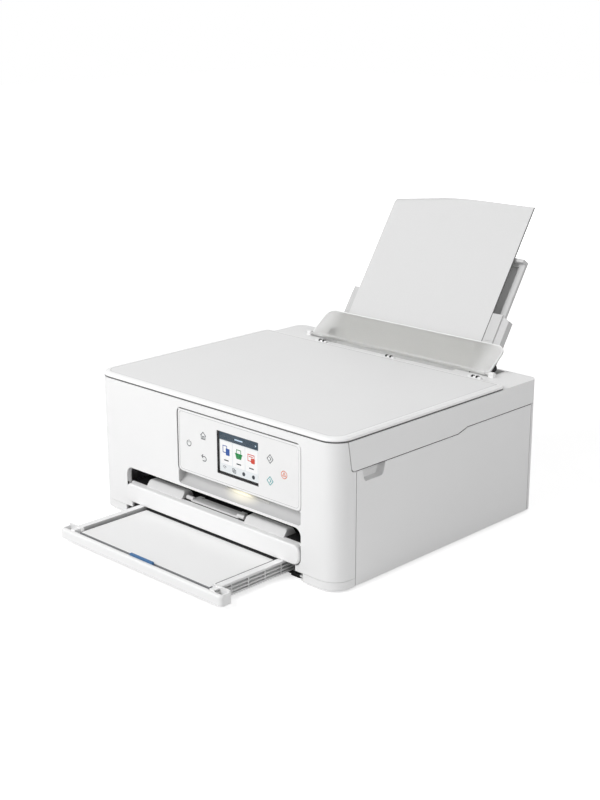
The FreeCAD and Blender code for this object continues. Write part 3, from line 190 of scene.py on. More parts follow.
# grey and black ABS: matt, for the rear feed and the works inside
mattGrey = {"colour": "#d3d3d3", "shade": "#cdcdcd", "cloud": 60, "grain": 0.8, "depth": 0.03, "rough": (0.48, 0.62),
            "edge": 0.5}
greyAbs = mouldedPlastic("greyAbsMatt", mattGrey)
# a lighter grey copy, laid as painted shade in the support extension's channel
paintedShadeAbs = mouldedPlastic("greyAbsPaintedShade", {**mattGrey, "colour": "#dcdcdc", "shade": "#d4d4d4",
                                           "rough": (0.5, 0.64), "edge": 0.3})
blackAbs = mouldedPlastic("blackAbsMatt", {
    "colour": "#1b1b1c", "shade": "#151516", "cloud": 40, "grain": 0.8, "depth": 0.04, "rough": (0.5, 0.66),
    "edge": 0.4})
# acetal lever: waxy, slightly glossy blue
blueAcetal = mouldedPlastic("blueAcetalMoulded", {
    "colour": "#3f6f9f", "shade": "#386694", "cloud": 12, "grain": 0.7, "depth": 0.02, "rough": (0.32, 0.44),
    "edge": 0.5})
# key stems in light grey ABS, tanks in dark polypropylene, and rubber that scatters nearly all light
keyAbs = mouldedPlastic("greyAbsKeyStem", {
    "colour": "#d8d8d6", "shade": "#d2d2d0", "cloud": 6, "grain": 0.6, "depth": 0.02, "rough": (0.4, 0.52),
    "edge": 0.3})
tankPlastic = mouldedPlastic("polypropyleneTank", {
    "colour": "#2c2c2e", "shade": "#242426", "cloud": 14, "grain": 0.7, "depth": 0.03, "rough": (0.36, 0.5),
    "edge": 0.4})
rubber = mouldedPlastic("nitrileRubberMoulded", {
    "colour": "#1d1d1d", "shade": "#161616", "cloud": 8, "grain": 0.5, "depth": 0.08, "rough": (0.72, 0.88),
    "edge": 0.4, "specular": 0.25})
# hard-coated polycarbonate film over the keys: even and nearly matt
filmSkin = mouldedPlastic("polycarbonateFilmPrinted", {
    "colour": "#efefef", "shade": "#ececec", "cloud": 40, "grain": 0.6, "depth": 0.008, "rough": (0.3, 0.36),
    "edge": 0.15})
# toothed belt, dull black, and a circuit board under green solder mask
beltSkin = mouldedPlastic("polyurethaneBelt", {
    "colour": "#2a2a2a", "shade": "#1e1e1e", "cloud": 4, "grain": 0.5, "depth": 0.1, "rough": (0.6, 0.75),
    "edge": 0.2})
boardSkin = mouldedPlastic("solderMaskBoard", {
    "colour": "#1f5a38", "shade": "#174a2d", "cloud": 9, "grain": 1.4, "depth": 0.05, "rough": (0.3, 0.45),
    "edge": 0.2})
# acrylic strip that glows most in its middle
lightPipe = mouldedPlastic("acrylicLightPipe", {
    "colour": "#cfcfcc", "shade": "#cacac6", "cloud": 20, "grain": 0.9, "depth": 0.01, "rough": (0.3, 0.4),
    "edge": 0.3,
    "glow": {"middle": (232, 10, 71), "reach": (28, 30, 30), "colour": "#fff4cc", "strength": 0.7}})
# clear acrylic strip shown nearly white: a painted highlight along the frosted cover's rim
paintedRimHighlight = mouldedPlastic("acrylicPaintedHighlight", {
    "colour": "#fafafa", "shade": "#f6f6f6", "cloud": 30, "grain": 0.9, "depth": 0.01, "rough": (0.25, 0.35),
    "edge": 0.3})


# frosted acrylic: milky, lets the light and the dark shapes behind it through; its rim is a painted highlight and its
# two ends are painted lighter, both whiter and less clear
frost = {"haze": 0.8, "rough": (0.34, 0.48), "edge": 1.1, "turn": (0.99, 0.86), "paintedEnds": (106, 134), "paintedEndsMost": 0.55,
         "colour": "#e9e9e7", "lit": "#ffffff", "clear": (0.8, 0.3), "depth": 0.02, "ior": 1.3}


def frostedAcrylic():
    material, tree, shader, coords = startMaterial("acrylicFrostedPaintedHighlight")
    haze = addNode(tree, "ShaderNodeTexNoise", {"Scale": 1 / (frost["haze"] * mm), "Detail": 2.0},
                   {"Vector": coords})
    rough = addNode(tree, "ShaderNodeMapRange", {"To Min": frost["rough"][0], "To Max": frost["rough"][1]},
                    {"Value": haze.outputs["Fac"]})
    edges = addNode(tree, "ShaderNodeBevel", {"samples": 6, "Radius": frost["edge"] * mm})
    flat = addNode(tree, "ShaderNodeNewGeometry")
    turn = addNode(tree, "ShaderNodeVectorMath", {"operation": "DOT_PRODUCT"}, {0: edges.outputs[0],
                                                                               1: flat.outputs["Normal"]})
    # painted highlight where the rounded edge turns, painted light towards both ends
    rim = addNode(tree, "ShaderNodeMapRange", {"From Min": frost["turn"][0], "From Max": frost["turn"][1]},
                  {"Value": turn.outputs["Value"]})
    across = addNode(tree, "ShaderNodeSeparateXYZ", links={0: coords})
    aside = addNode(tree, "ShaderNodeMath", {"operation": "ABSOLUTE"}, {0: across.outputs[0]})
    paintedEnds = addNode(tree, "ShaderNodeMapRange", {"interpolation_type": "SMOOTHSTEP", "From Min": frost["paintedEnds"][0] * mm,
                                                "From Max": frost["paintedEnds"][1] * mm, "To Max": frost["paintedEndsMost"]},
                   {"Value": aside.outputs[0]})
    lit = addNode(tree, "ShaderNodeMath", {"operation": "MAXIMUM"}, {0: rim.outputs[0], 1: paintedEnds.outputs[0]})
    tone = addNode(tree, "ShaderNodeMix", {"data_type": "RGBA", 6: linear(frost["colour"]), 7: linear(frost["lit"])},
                   {0: lit.outputs[0]})
    clear = addNode(tree, "ShaderNodeMapRange", {"To Min": frost["clear"][0], "To Max": frost["clear"][1]},
                    {"Value": lit.outputs[0]})
    bump = addNode(tree, "ShaderNodeBump", {"Strength": 0.3, "Distance": frost["depth"] * mm},
                   {"Height": haze.outputs["Fac"], "Normal": edges.outputs[0]})
    tree.links.new(tone.outputs[2], shader.inputs["Base Color"])
    tree.links.new(rough.outputs[0], shader.inputs["Roughness"])
    tree.links.new(clear.outputs[0], shader.inputs["Transmission Weight"])
    tree.links.new(bump.outputs[0], shader.inputs["Normal"])
    shader.inputs["IOR"].default_value = frost["ior"]
    return material


# float glass: clear, with a faint green body and a trace of dust in its sheen
def floatGlass(name, tint, dust, ior):
    material, tree, shader, coords = startMaterial(name)
    specks = addNode(tree, "ShaderNodeTexNoise", {"Scale": 1 / (3 * mm), "Detail": 4.0}, {"Vector": coords})
    rough = addNode(tree, "ShaderNodeMapRange", {"To Min": 0.0, "To Max": dust}, {"Value": specks.outputs["Fac"]})
    tree.links.new(rough.outputs[0], shader.inputs["Roughness"])
    shader.inputs["Base Color"].default_value = linear(tint)
    shader.inputs["Transmission Weight"].default_value = 1.0
    shader.inputs["IOR"].default_value = ior
    return material


# steel: turned shafts show rings round the bar, sheet shows a spangled zinc skin
def metalSkin(name, colour, stretch, spacing, rough):
    material, tree, shader, coords = startMaterial(name)
    lines = addNode(tree, "ShaderNodeMapping", {"Scale": stretch}, {"Vector": coords})
    grit = addNode(tree, "ShaderNodeTexNoise", {"Scale": 1 / (spacing * mm), "Detail": 3.0},
                   {"Vector": lines.outputs[0]})
    sheen = addNode(tree, "ShaderNodeMapRange", {"To Min": rough[0], "To Max": rough[1]},
                    {"Value": grit.outputs["Fac"]})
    bump = addNode(tree, "ShaderNodeBump", {"Strength": 0.25, "Distance": 0.03 * mm}, {"Height": grit.outputs["Fac"]})
    tree.links.new(sheen.outputs[0], shader.inputs["Roughness"])
    tree.links.new(bump.outputs[0], shader.inputs["Normal"])
    shader.inputs["Base Color"].default_value = linear(colour)
    shader.inputs["Metallic"].default_value = 1.0
    return material


# office paper: matt, with a faint fibre mottle; boxes of it are painted darker as painted shade, such as the cut edge
# of a pack
def officePaper(name, colour, shade, areas):
    material, tree, shader, coords = startMaterial(name)
    fibre = addNode(tree, "ShaderNodeTexNoise", {"Scale": 1 / (1.6 * mm), "Detail": 5.0, "Roughness": 0.7},
                    {"Vector": coords})
    tone = addNode(tree, "ShaderNodeMix", {"data_type": "RGBA", 6: linear(colour), 7: linear(shade)},
                   {0: fibre.outputs["Fac"]}).outputs[2]
    tone = paintAreas(tree, coords, tone, areas)
    bump = addNode(tree, "ShaderNodeBump", {"Strength": 0.3, "Distance": 0.03 * mm}, {"Height": fibre.outputs["Fac"]})
    tree.links.new(tone, shader.inputs["Base Color"])
    tree.links.new(bump.outputs[0], shader.inputs["Normal"])
    shader.inputs["Roughness"].default_value = 0.88
    shader.inputs["Specular IOR Level"].default_value = 0.2
    return material


# polyurethane foam under a white skin: matt, with small open cells
def foamSkin():
    material, tree, shader, coords = startMaterial("polyurethaneFoamSkin")
    cells = addNode(tree, "ShaderNodeTexVoronoi", {"Scale": 1 / (1.4 * mm)}, {"Vector": coords})
    tone = addNode(tree, "ShaderNodeMix", {"data_type": "RGBA", 6: linear("#f2f2f0"), 7: linear("#e6e6e3")},
                   {0: cells.outputs["Distance"]})
    bump = addNode(tree, "ShaderNodeBump", {"Strength": 0.3, "Distance": 0.15 * mm},
                   {"Height": cells.outputs["Distance"]})
    tree.links.new(tone.outputs[2], shader.inputs["Base Color"])
    tree.links.new(bump.outputs[0], shader.inputs["Normal"])
    shader.inputs["Roughness"].default_value = 0.9
    return material


# screen and printed inks: colour broken by the rows of the display or by the print's own dots
def inkTone(name, colour, shade, row, glow):
    material, tree, shader, coords = startMaterial(name)
    dots = addNode(tree, "ShaderNodeTexVoronoi", {"Scale": 1 / (row * mm), "Randomness": 0.0}, {"Vector": coords})
    tone = addNode(tree, "ShaderNodeMix", {"data_type": "RGBA", 6: linear(colour), 7: linear(shade)},
                   {0: dots.outputs["Distance"]})
    shader.inputs["Roughness"].default_value = 0.4
    if glow:
        tree.links.new(tone.outputs[2], shader.inputs["Emission Color"])
        shader.inputs["Emission Strength"].default_value = glow
        shader.inputs["Base Color"].default_value = linear("#0a0a0a")
    else:
        tree.links.new(tone.outputs[2], shader.inputs["Base Color"])
    return material


acrylic = frostedAcrylic()
platenGlass = floatGlass("floatGlassPlaten", "#eef4f0", 0.06, 1.52)
screenGlass = floatGlass("coverGlassCoated", "#ffffff", 0.03, 1.18)
groundSteel = metalSkin("groundSteelShaft", "#b9bcbf", (1.0, 0.05, 0.05), 0.6, (0.18, 0.34))
sheetSteel = metalSkin("galvanisedSheetSteel", "#9ea2a6", (1.0, 1.0, 1.0), 5.0, (0.35, 0.55))
# rear sheets: toned darker all over as painted shade, with more painted shade on their right edge
paper = officePaper("officePaperSheetPaintedShade", "#e2e2e2", "#dcdcdc", [
    {"low": (292.5, 250, 60), "high": (294, 460, 345), "colour": "#7d7d7d"}])
# drawer sheets: painted shade on their cut edges, and dark painted shade where they pass under the tray's bar into the
# machine
drawerPaperPaintedShade = officePaper("officePaperDrawerPaintedShade", "#f2f2f2", "#eeeeee", [
    {"low": (291.9, -97, 4), "high": (294, 204, 17), "colour": "#6f7072"},
    {"low": (82, -97, 4), "high": (84.1, 204, 17), "colour": "#6f7072"},
    {"low": (82, -97, 4), "high": (294, -94.2, 17), "colour": "#8f9092"},
    {"low": (82, -1.8, 4), "high": (294, 204, 17), "colour": "#3c3c3d"}])
foam = foamSkin()
printDot = 0.5
printGrey = inkTone("screenPrintGrey", "#505357", "#5a5d61", printDot, 0)
filmLine = inkTone("screenPrintPale", "#b0b0b0", "#b7b7b7", printDot, 0)
printTeal = inkTone("screenPrintTeal", "#12989c", "#1c9da1", printDot, 0)
printOrange = inkTone("screenPrintOrange", "#d9714f", "#dd7b5b", printDot, 0)
print("materials made:", len(bpy.data.materials))

finishes = {
    whiteAbs: ["left_side_cover", "right_side_cover", "rear_cover", "scanner_housing", "cassette_front"],
    cassetteAbsPaintedShade: ["cassette_tray"], guideAbsPaintedShade: ["cassette_guide_right", "cassette_guide_left"],
    extensionAbsPaintedShade: ["output_extension"],
    frontAbsPaintedShadeAndGlow: ["front_fascia"], baseAbsPaintedShade: ["bottom_case"], lidPaintedHighlightAndShade: ["document_lid"], panelAbsPaintedShade: ["panel_frame"],
    trayAbsPaintedShade: ["output_tray"], filmSkin: ["panel_overlay"],
    greyAbs: ["support_extension", "rear_feed_frame", "scan_carriage", "paper_guide_right", "paper_guide_left",
              "paper_support"],
    blackAbs: ["print_platen", "maintenance_unit", "print_carriage", "print_head", "pickup_arm", "support_pivots",
               "ac_inlet", "idler_gear", "display"],
    blueAcetal: ["lock_lever"], tankPlastic: ["ink_tanks"], beltSkin: ["carriage_belt"], boardSkin: ["main_board"],
    rubber: ["rubber_feet", "line_feed_roller", "exit_roller", "pickup_roller", "rear_feed_roller"],
    groundSteel: ["hinge_pins", "case_screws", "carriage_rail", "carriage_motor", "feed_motor", "scan_shaft"],
    sheetSteel: ["chassis_frame", "power_supply", "usb_port"],
    acrylic: ["feed_slot_cover"], platenGlass: ["platen_glass"], paper: ["rear_paper"],
    drawerPaperPaintedShade: ["cassette_paper"], foam: ["document_pad"],
    keyAbs: ["power_key", "home_key", "back_key", "mono_start_key", "colour_start_key", "stop_key"],
    lightPipe: ["status_light"],
}
for material, names in finishes.items():
    for name in names:
        nodes[name].material_slots[0].material = material
bare = sorted(set(nodes) - {name for names in finishes.values() for name in names})
print("nodes with no finish:", bare)


def meshPiece(name, mesh, body):
    piece = bpy.data.objects.new(name, mesh)
    bpy.context.scene.collection.objects.link(piece)
    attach(piece, body)
    return piece


def newPiece(name, bm, body, material, smooth=False):
    mesh = bpy.data.meshes.new(name)
    bmesh.ops.recalc_face_normals(bm, faces=bm.faces)
    bm.to_mesh(mesh)
    bm.free()
    for polygon in mesh.polygons:
        polygon.use_smooth = smooth
    mesh.materials.append(material)
    return meshPiece(name, mesh, body)


def addBlock(bm, low, high, edge):
    made = bmesh.ops.create_cube(bm, size=1.0)["verts"]
    low, high = spot(*low), spot(*high)
    for vert in made:
        vert.co = Vector((low[i] if vert.co[i] < 0 else high[i] for i in range(3)))
    edges = list({e for vert in made for e in vert.link_edges})
    bmesh.ops.bevel(bm, geom=edges, offset=edge * mm, segments=2, affect="EDGES", profile=0.5)


def frontPlane(u, v, depth):
    return spot(u, depth, v)


def sidePlane(u, v, depth):
    return spot(depth, u, v)


# a strip of even width with mitred corners, on a plane that faces the front unless another is given
def addStroke(bm, points, width, front, thick, closed=False, plane=frontPlane, mitre=0.35):
    flat = [Vector(point) for point in points]
    count = len(flat)
    rings = []
    for i, point in enumerate(flat):
        before = flat[i - 1] if i or closed else None
        after = flat[(i + 1) % count] if i < count - 1 or closed else None
        into = (point - before).normalized() if before is not None else (after - point).normalized()
        out = (after - point).normalized() if after is not None else into
        side = Vector((-into.y - out.y, into.x + out.x)).normalized()
        reach = width / 2 / max(mitre, side.dot(Vector((-into.y, into.x))))
        corners = [point + side * reach, point - side * reach]
        rings.append([bm.verts.new(plane(corner.x, corner.y, depth)) for depth in (front, front + thick)
                      for corner in corners])
    pairs = list(zip(rings, rings[1:])) + ([(rings[-1], rings[0])] if closed else [])
    for a, b in pairs:
        for i, j in ((0, 1), (1, 3), (3, 2), (2, 0)):
            bm.faces.new((a[i], a[j], b[j], b[i]))
    if not closed:
        for ring in (rings[0], rings[-1]):
            bm.faces.new((ring[0], ring[1], ring[3], ring[2]))


def addPlate(bm, outline, front, thick):
    near = [bm.verts.new(spot(x, front, z)) for x, z in outline]
    far = [bm.verts.new(spot(x, front + thick, z)) for x, z in outline]
    bm.faces.new(near)
    bm.faces.new(far)
    for i in range(len(near)):
        j = (i + 1) % len(near)
        bm.faces.new((near[i], near[j], far[j], far[i]))


def arcPoints(x, z, radius, start, stop, steps):
    turns = [math.radians(start + (stop - start) * i / steps) for i in range(steps + 1)]
    return [(x + radius * math.cos(turn), z + radius * math.sin(turn)) for turn in turns]


def roundedOutline(x0, x1, z0, z1, radius, steps=6):
    corners = [(x1 - radius, z1 - radius, 0), (x0 + radius, z1 - radius, 90), (x0 + radius, z0 + radius, 180),
               (x1 - radius, z0 + radius, 270)]
    return [point for x, z, turn in corners for point in arcPoints(x, z, radius, turn, turn + 90, steps)]


def layoutBox(node):
    low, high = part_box(node)
    return [((v.x - layout["left"]) / mm, (v.y - layout["front"]) / mm, v.z / mm) for v in (low, high)]


def keyMiddle(node):
    low, high = layoutBox(node)
    return (low[0] + high[0]) / 2, (low[2] + high[2]) / 2


# printed signs on the film, one over each key
marks = {"line": 0.95, "fine": 0.85, "thick": 0.05, "proud": 0.04, "size": 3.2, "border": 0.4, "corner": 4.0}
markFront = layoutBox("panel_overlay")[0][1] - marks["proud"]


def markPiece(name, strokes, material, line=None):
    bm = bmesh.new()
    for points, closed in strokes:
        addStroke(bm, points, line or marks["line"], markFront, marks["thick"], closed)
    return newPiece(name, bm, "panel", material)


x, z = keyMiddle("power_key")
markPiece("powerMark", [(arcPoints(x, z, marks["size"], 125, 415, 22), False),
                        ([(x, z + 0.6), (x, z + 4.0)], False)], printGrey)
x, z = keyMiddle("home_key")
markPiece("homeMark", [([(x - 4.2, z + 0.2), (x, z + 4.2), (x + 4.2, z + 0.2)], False),
                       ([(x - 3.0, z + 1.0), (x - 3.0, z - 3.6), (x + 3.0, z - 3.6), (x + 3.0, z + 1.0)], False),
                       ([(x - 1.1, z - 3.2), (x - 1.1, z - 0.6), (x + 1.1, z - 0.6), (x + 1.1, z - 3.2)], False)],
          printGrey)
x, z = keyMiddle("back_key")
markPiece("backMark", [([(x - 3.4, z + 1.6), (x + 1.0, z + 1.6)] + arcPoints(x + 1.0, z - 0.9, 2.5, 80, -90, 12)
                        + [(x - 2.2, z - 3.4)], False),
                       ([(x - 1.4, z + 3.8), (x - 3.7, z + 1.6), (x - 1.4, z - 0.6)], False)], printGrey)
for name, key, ink in (("monoStartMark", "mono_start_key", printGrey),
                       ("colourStartMark", "colour_start_key", printTeal)):
    x, z = keyMiddle(key)
    markPiece(name, [([(x, z + 4.7), (x - 4.3, z), (x, z - 4.7), (x + 4.3, z)], True),
                     ([(x - 0.8, z + 2.0), (x + 1.3, z), (x - 0.8, z - 2.0)], False)], ink, marks["fine"])
x, z = keyMiddle("stop_key")
markPiece("stopMark", [(arcPoints(x, z, 4.0, 0, 352, 30), True),
                       ([(x, z + 2.3), (x - 2.0, z - 1.3), (x + 2.0, z - 1.3)], True)], printOrange,
          marks["fine"])
print("panel signs made")

# display: a black tray behind the cover glass, with the picture set back in it
screen = {"left": 2.0, "right": 2.0, "top": 1.0, "bottom": 2.5, "set": 2.2, "wall": 1.2, "glass": 0.5, "rim": 1.65,
          "behind": 0.75, "edge": 0.1, "backEdge": 0.3}
frontY = layoutBox("panel_overlay")[0][1]
low, high = layoutBox("display")
window = {"left": low[0] + screen["rim"], "right": high[0] - screen["rim"], "base": low[2] + screen["rim"],
          "top": high[2] - screen["rim"]}
wallY, floorY = frontY + screen["set"], frontY + screen["set"] + screen["wall"]
bm = bmesh.new()
for x0, x1, z0, z1 in ((low[0], window["left"] + screen["left"], low[2], high[2]),
                       (window["right"] - screen["right"], high[0], low[2], high[2]),
                       (window["left"], window["right"], low[2], window["base"] + screen["bottom"]),
                       (window["left"], window["right"], window["top"] - screen["top"], high[2])):
    addBlock(bm, (x0, wallY, z0), (x1, floorY, z1), screen["edge"])
addBlock(bm, (low[0], floorY, low[2]), high, screen["backEdge"])
for x0, x1, z0, z1 in ((low[0], window["left"], low[2], high[2]), (window["right"], high[0], low[2], high[2]),
                       (window["left"], window["right"], low[2], window["base"]),
                       (window["left"], window["right"], window["top"], high[2])):
    addBlock(bm, (x0, frontY + screen["behind"], z0), (x1, wallY, z1), screen["edge"])
displayTray = newPiece("displayTray", bm, "panel", blackAbs)
bm = bmesh.new()
addBlock(bm, (window["left"], frontY, window["base"]),
         (window["right"], frontY + screen["glass"], window["top"]), screen["edge"])
newPiece("displayGlass", bm, "panel", screenGlass)
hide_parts("display")

# picture on the display: header, three tiles with plain signs, and a row of small keys
picture = {"header": 8.6, "row": 9.4, "gap": 1.3, "thick": 0.06, "proud": 0.02, "corner": 1.0, "sign": 15.0,
           "signLine": 0.9, "rowLine": 0.6, "rowDot": 2.2, "label": 1.3, "labelHalf": 3.4, "labelRise": 3.6,
           "pixel": 0.4, "glow": 0.92}
ui = {"left": window["left"] + screen["left"], "right": window["right"] - screen["right"],
      "base": window["base"] + screen["bottom"], "top": window["top"] - screen["top"]}
uiFront = wallY - picture["proud"]
uiTones = {"uiBase": "#eef2f4", "uiHeader": "#2f4454", "uiTile": "#ffffff", "uiBlue": "#2354a4",
           "uiGreen": "#0f8a44", "uiRed": "#d8452f", "uiDark": "#232d36", "uiPale": "#d5ebff"}
uiInk = {name: inkTone("displayPixels" + name[2:], tone, tone, picture["pixel"], picture["glow"])
         for name, tone in uiTones.items()}


def uiPiece(name, tone, plates, strokes=(), depth=0, line=0.7):
    bm = bmesh.new()
    front = uiFront - depth * picture["thick"]
    for outline in plates:
        addPlate(bm, outline, front, picture["thick"])
    for points, closed in strokes:
        addStroke(bm, points, line, front, picture["thick"], closed)
    return newPiece(name, bm, "panel", uiInk[tone])


def corners(x0, x1, z0, z1):
    return [(x0, z0), (x1, z0), (x1, z1), (x0, z1)]


uiPiece("uiBack", "uiBase", [corners(ui["left"], ui["right"], ui["base"], ui["top"])])
headerBase = ui["top"] - picture["header"]
uiPiece("uiHeader", "uiHeader", [corners(ui["left"], ui["right"], headerBase, ui["top"])], depth=1)
middle = (ui["left"] + ui["right"]) / 2
uiPiece("uiHeaderSign", "uiPale", [corners(middle - 6, middle + 6, headerBase + 3.6, headerBase + 5.0),
                                   [(ui["right"] - 4.4, headerBase + 5.2), (ui["right"] - 4.4, headerBase + 3.0),
                                    (ui["right"] - 2.6, headerBase + 4.1)]], depth=2)
tileBase = ui["base"] + picture["row"]
tileWidth = (ui["right"] - ui["left"] - 4 * picture["gap"]) / 3
tiles = [ui["left"] + picture["gap"] + i * (tileWidth + picture["gap"]) for i in range(3)]
uiPiece("uiTiles", "uiTile", [roundedOutline(x0, x0 + tileWidth, tileBase, headerBase - picture["gap"],
                                             picture["corner"])
                              for x0 in tiles], depth=1)
signZ = tileBase + picture["sign"]
labelZ = tileBase + picture["labelRise"]
signX = [x0 + tileWidth / 2 for x0 in tiles]
labels = [corners(x - picture["labelHalf"], x + picture["labelHalf"], labelZ, labelZ + picture["label"])
          for x in signX]
x = signX[0]
uiPiece("uiCopySign", "uiBlue", [corners(x - 0.6, x + 5.2, signZ - 5.0, signZ + 2.6)],
        [(corners(x - 5.0, x + 0.8, signZ - 2.2, signZ + 5.2), True)], 2, picture["signLine"])
x = signX[1]
uiPiece("uiScanSign", "uiGreen", [[(x - 5.2, signZ + 0.2), (x - 3.6, signZ - 5.0), (x + 3.6, signZ - 5.0),
                                   (x + 5.2, signZ + 0.2)], corners(x - 5.6, x + 5.6, signZ - 0.4, signZ + 1.0)],
        [(corners(x - 3.2, x + 3.2, signZ + 0.6, signZ + 5.0), True)], 2, picture["signLine"])
x = signX[2]
uiPiece("uiPrintSign", "uiRed", [roundedOutline(x - 0.6, x + 5.2, signZ - 5.0, signZ + 0.8, 1.2),
                                 corners(x - 3.8, x + 2.0, signZ + 1.6, signZ + 2.6)],
        [(corners(x - 5.2, x + 4.2, signZ - 2.8, signZ + 4.2), True)], 2, picture["signLine"])
rowZ = ui["base"] + picture["row"] / 2
rowStep = (ui["right"] - ui["left"]) / 4
rowX = [ui["left"] + rowStep * (i + 0.5) for i in range(4)]
uiPiece("uiLabels", "uiDark", labels + [arcPoints(x, rowZ, picture["rowDot"], 0, 345, 23) for x in rowX[2:]],
        [(arcPoints(rowX[0], rowZ - 1.6, 1.6, 45, 135, 6), False),
         (arcPoints(rowX[0], rowZ - 1.6, 3.6, 45, 135, 8), False),
         (corners(rowX[1] - 2.4, rowX[1] + 0.8, rowZ - 1.0, rowZ + 2.2), True),
         (corners(rowX[1] - 0.8, rowX[1] + 2.4, rowZ - 2.2, rowZ + 1.0), True)], 2,
        picture["rowLine"])
print("display made")

# fine line round the film
low, high = layoutBox("panel_overlay")
bm = bmesh.new()
addStroke(bm, roundedOutline(low[0], high[0], low[2], high[2], marks["corner"]), marks["border"], markFront,
          marks["thick"], True)
newPiece("filmEdge", bm, "panel", filmLine)

# the lid's outline, shared by its strip of painted shade and its skin
lidSize = {"depth": 276.0, "front": 22.0, "rear": 8.0, "least": 0.6, "base": lidRim, "top": 164.7}


def planOutline(x0, x1, y0, y1, front, rear, steps=10):
    ends = [(x1 - rear, y1 - rear, rear, 0), (x0 + rear, y1 - rear, rear, 90), (x0 + front, y0 + front, front, 180),
            (x1 - front, y0 + front, front, 270)]
    return [point for x, y, radius, turn in ends for point in arcPoints(x, y, radius, turn, turn + 90, steps)]


def lidOutline(inset):
    return planOutline(inset, layout["width"] - inset, inset, lidSize["depth"] - inset, lidSize["front"] - inset,
                       max(lidSize["least"], lidSize["rear"] - inset))


# closed skin through a row of loops, the first and last loop filled
def loopSkin(bm, loops):
    rings = [[bm.verts.new(spot(*point)) for point in loop] for loop in loops]
    for a, b in zip(rings, rings[1:]):
        for i in range(len(a)):
            j = (i + 1) % len(a)
            bm.faces.new((a[i], a[j], b[j], b[i]))
    bm.faces.new(rings[0])
    bm.faces.new(rings[-1])


# black strips set in the seams as painted shade, keeping the joints dark
lidStrip = {"inset": 0.3, "width": 2.6, "drop": 0.85}
bm = bmesh.new()
addStroke(bm, lidOutline(lidStrip["inset"] + lidStrip["width"] / 2), lidStrip["width"],
          lidSize["base"] - lidStrip["drop"], lidStrip["drop"], True, spot)
newPiece("lidPaintedShadeStrip", bm, "lid", rubber)

# painted shade round the top of the panel, from foot to foot
panelStrip = {"left": 140.0, "right": 327.0, "gap": 0.45, "corner": 6.4, "foot": 4.0, "width": 0.7, "front": 1.0,
              "thick": 0.8}
low, high = layoutBox("panel_frame")
left, right = panelStrip["left"] - panelStrip["gap"], panelStrip["right"] + panelStrip["gap"]
outline = roundedOutline(left, right, low[2] - panelStrip["gap"], high[2] + panelStrip["gap"], panelStrip["corner"])
upper = outline[:len(outline) // 2]
footZ = low[2] + panelStrip["foot"]
bm = bmesh.new()
addStroke(bm, [(right, footZ)] + upper + [(left, footZ)], panelStrip["width"], panelStrip["front"],
          panelStrip["thick"])
newPiece("panelPaintedShadeStrip", bm, "body", rubber)

# painted shade along the sides, under the scanner unit
seam = {"front": 127.05, "rear": 131.65, "start": 30.0, "jog": (192.0, 208.0), "end": 326.0, "depth": 0.2,
        "thick": 1.9, "width": 0.72}
for name, x0 in (("leftPaintedShadeStrip", seam["depth"]), ("rightPaintedShadeStrip", layout["width"] - seam["depth"] - seam["thick"])):
    bm = bmesh.new()
    addStroke(bm, [(seam["start"], seam["front"]), (seam["jog"][0], seam["front"]), (seam["jog"][1], seam["rear"]),
                   (seam["end"], seam["rear"])], seam["width"], x0, seam["thick"], False, sidePlane)
    newPiece(name, bm, "body", rubber)

# painted shade at the ends of the tray's bar
bar = {"left": 49.5, "right": 326.5, "base": 18.8, "top": 41.0, "corner": 8.4, "width": 0.8, "front": 0.6,
       "thick": 1.4}
for name, x, inward, start, stop in (("barPaintedShadeStripLeft", bar["left"], 1, 180, 250),
                                     ("barPaintedShadeStripRight", bar["right"], -1, 360, 290)):
    bend = arcPoints(x + inward * bar["corner"], bar["base"] + bar["corner"], bar["corner"], start, stop, 8)
    bm = bmesh.new()
    addStroke(bm, [(x, bar["top"])] + bend, bar["width"], bar["front"], bar["thick"])
    newPiece(name, bm, "body", rubber)
print("seals made")

# lid skin: a shallow crown that rolls off towards the edge; each row is an inset and a rise, each ring has a tone:
# painted highlight at the edge, then a line of painted shade, then the plain lid
crown = [(2.25, -0.05), (2.4, 0.06), (3.6, 0.3), (5.2, 0.5), (6.6, 0.56), (7.2, 0.52), (8.0, 0.52), (9.5, 0.58),
         (13.0, 0.62)]
crownPaintedLight = [0, 0, 0, 0, 1, 1, 2, 2]
bm = bmesh.new()
loopSkin(bm, [[(x, y, lidSize["top"] + rise) for x, y in lidOutline(inset)] for inset, rise in crown])
perLoop = len(lidOutline(0))
for number, face in enumerate(bm.faces):
    face.material_index = crownPaintedLight[number // perLoop] if number < perLoop * len(crownPaintedLight) else 2
lidCrown = newPiece("lidCrown", bm, "lid", lidPaintedHighlightAndShade, True)
lidCrown.data.materials.append(lidPaintedShadeLine)
lidCrown.data.materials.append(lidAbs)

# foam pad under the lid, crowned towards the glass
padCorner = 4.0
low, high = layoutBox("document_pad")
padLoops = [(0.6, high[2]), (0.0, high[2] - 0.9), (0.0, high[2] - 2.0), (0.5, low[2] + 0.75), (1.6, low[2] + 0.3),
            (6.0, low[2] + 0.1), (24.0, low[2])]
bm = bmesh.new()
loopSkin(bm, [[(x, y, z) for x, y in planOutline(low[0] + inset, high[0] - inset, low[1] + inset, high[1] - inset,
                                                 padCorner, padCorner)] for inset, z in padLoops])
pad = newPiece("lidPad", bm, "lid", foam, True)
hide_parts("document_pad")
print("lid skin and pad made")


# a Geometry Nodes tree with its inputs, and its end: a shape on each point, made real and given its material
def startTree(name, kinds):
    tree = bpy.data.node_groups.new(name, "GeometryNodeTree")
    tree.interface.new_socket(name="Made", in_out="OUTPUT", socket_type="NodeSocketGeometry")
    for key, kind in kinds.items():
        tree.interface.new_socket(name=key, in_out="INPUT", socket_type="NodeSocket" + kind)
    return tree, addNode(tree, "NodeGroupInput").outputs


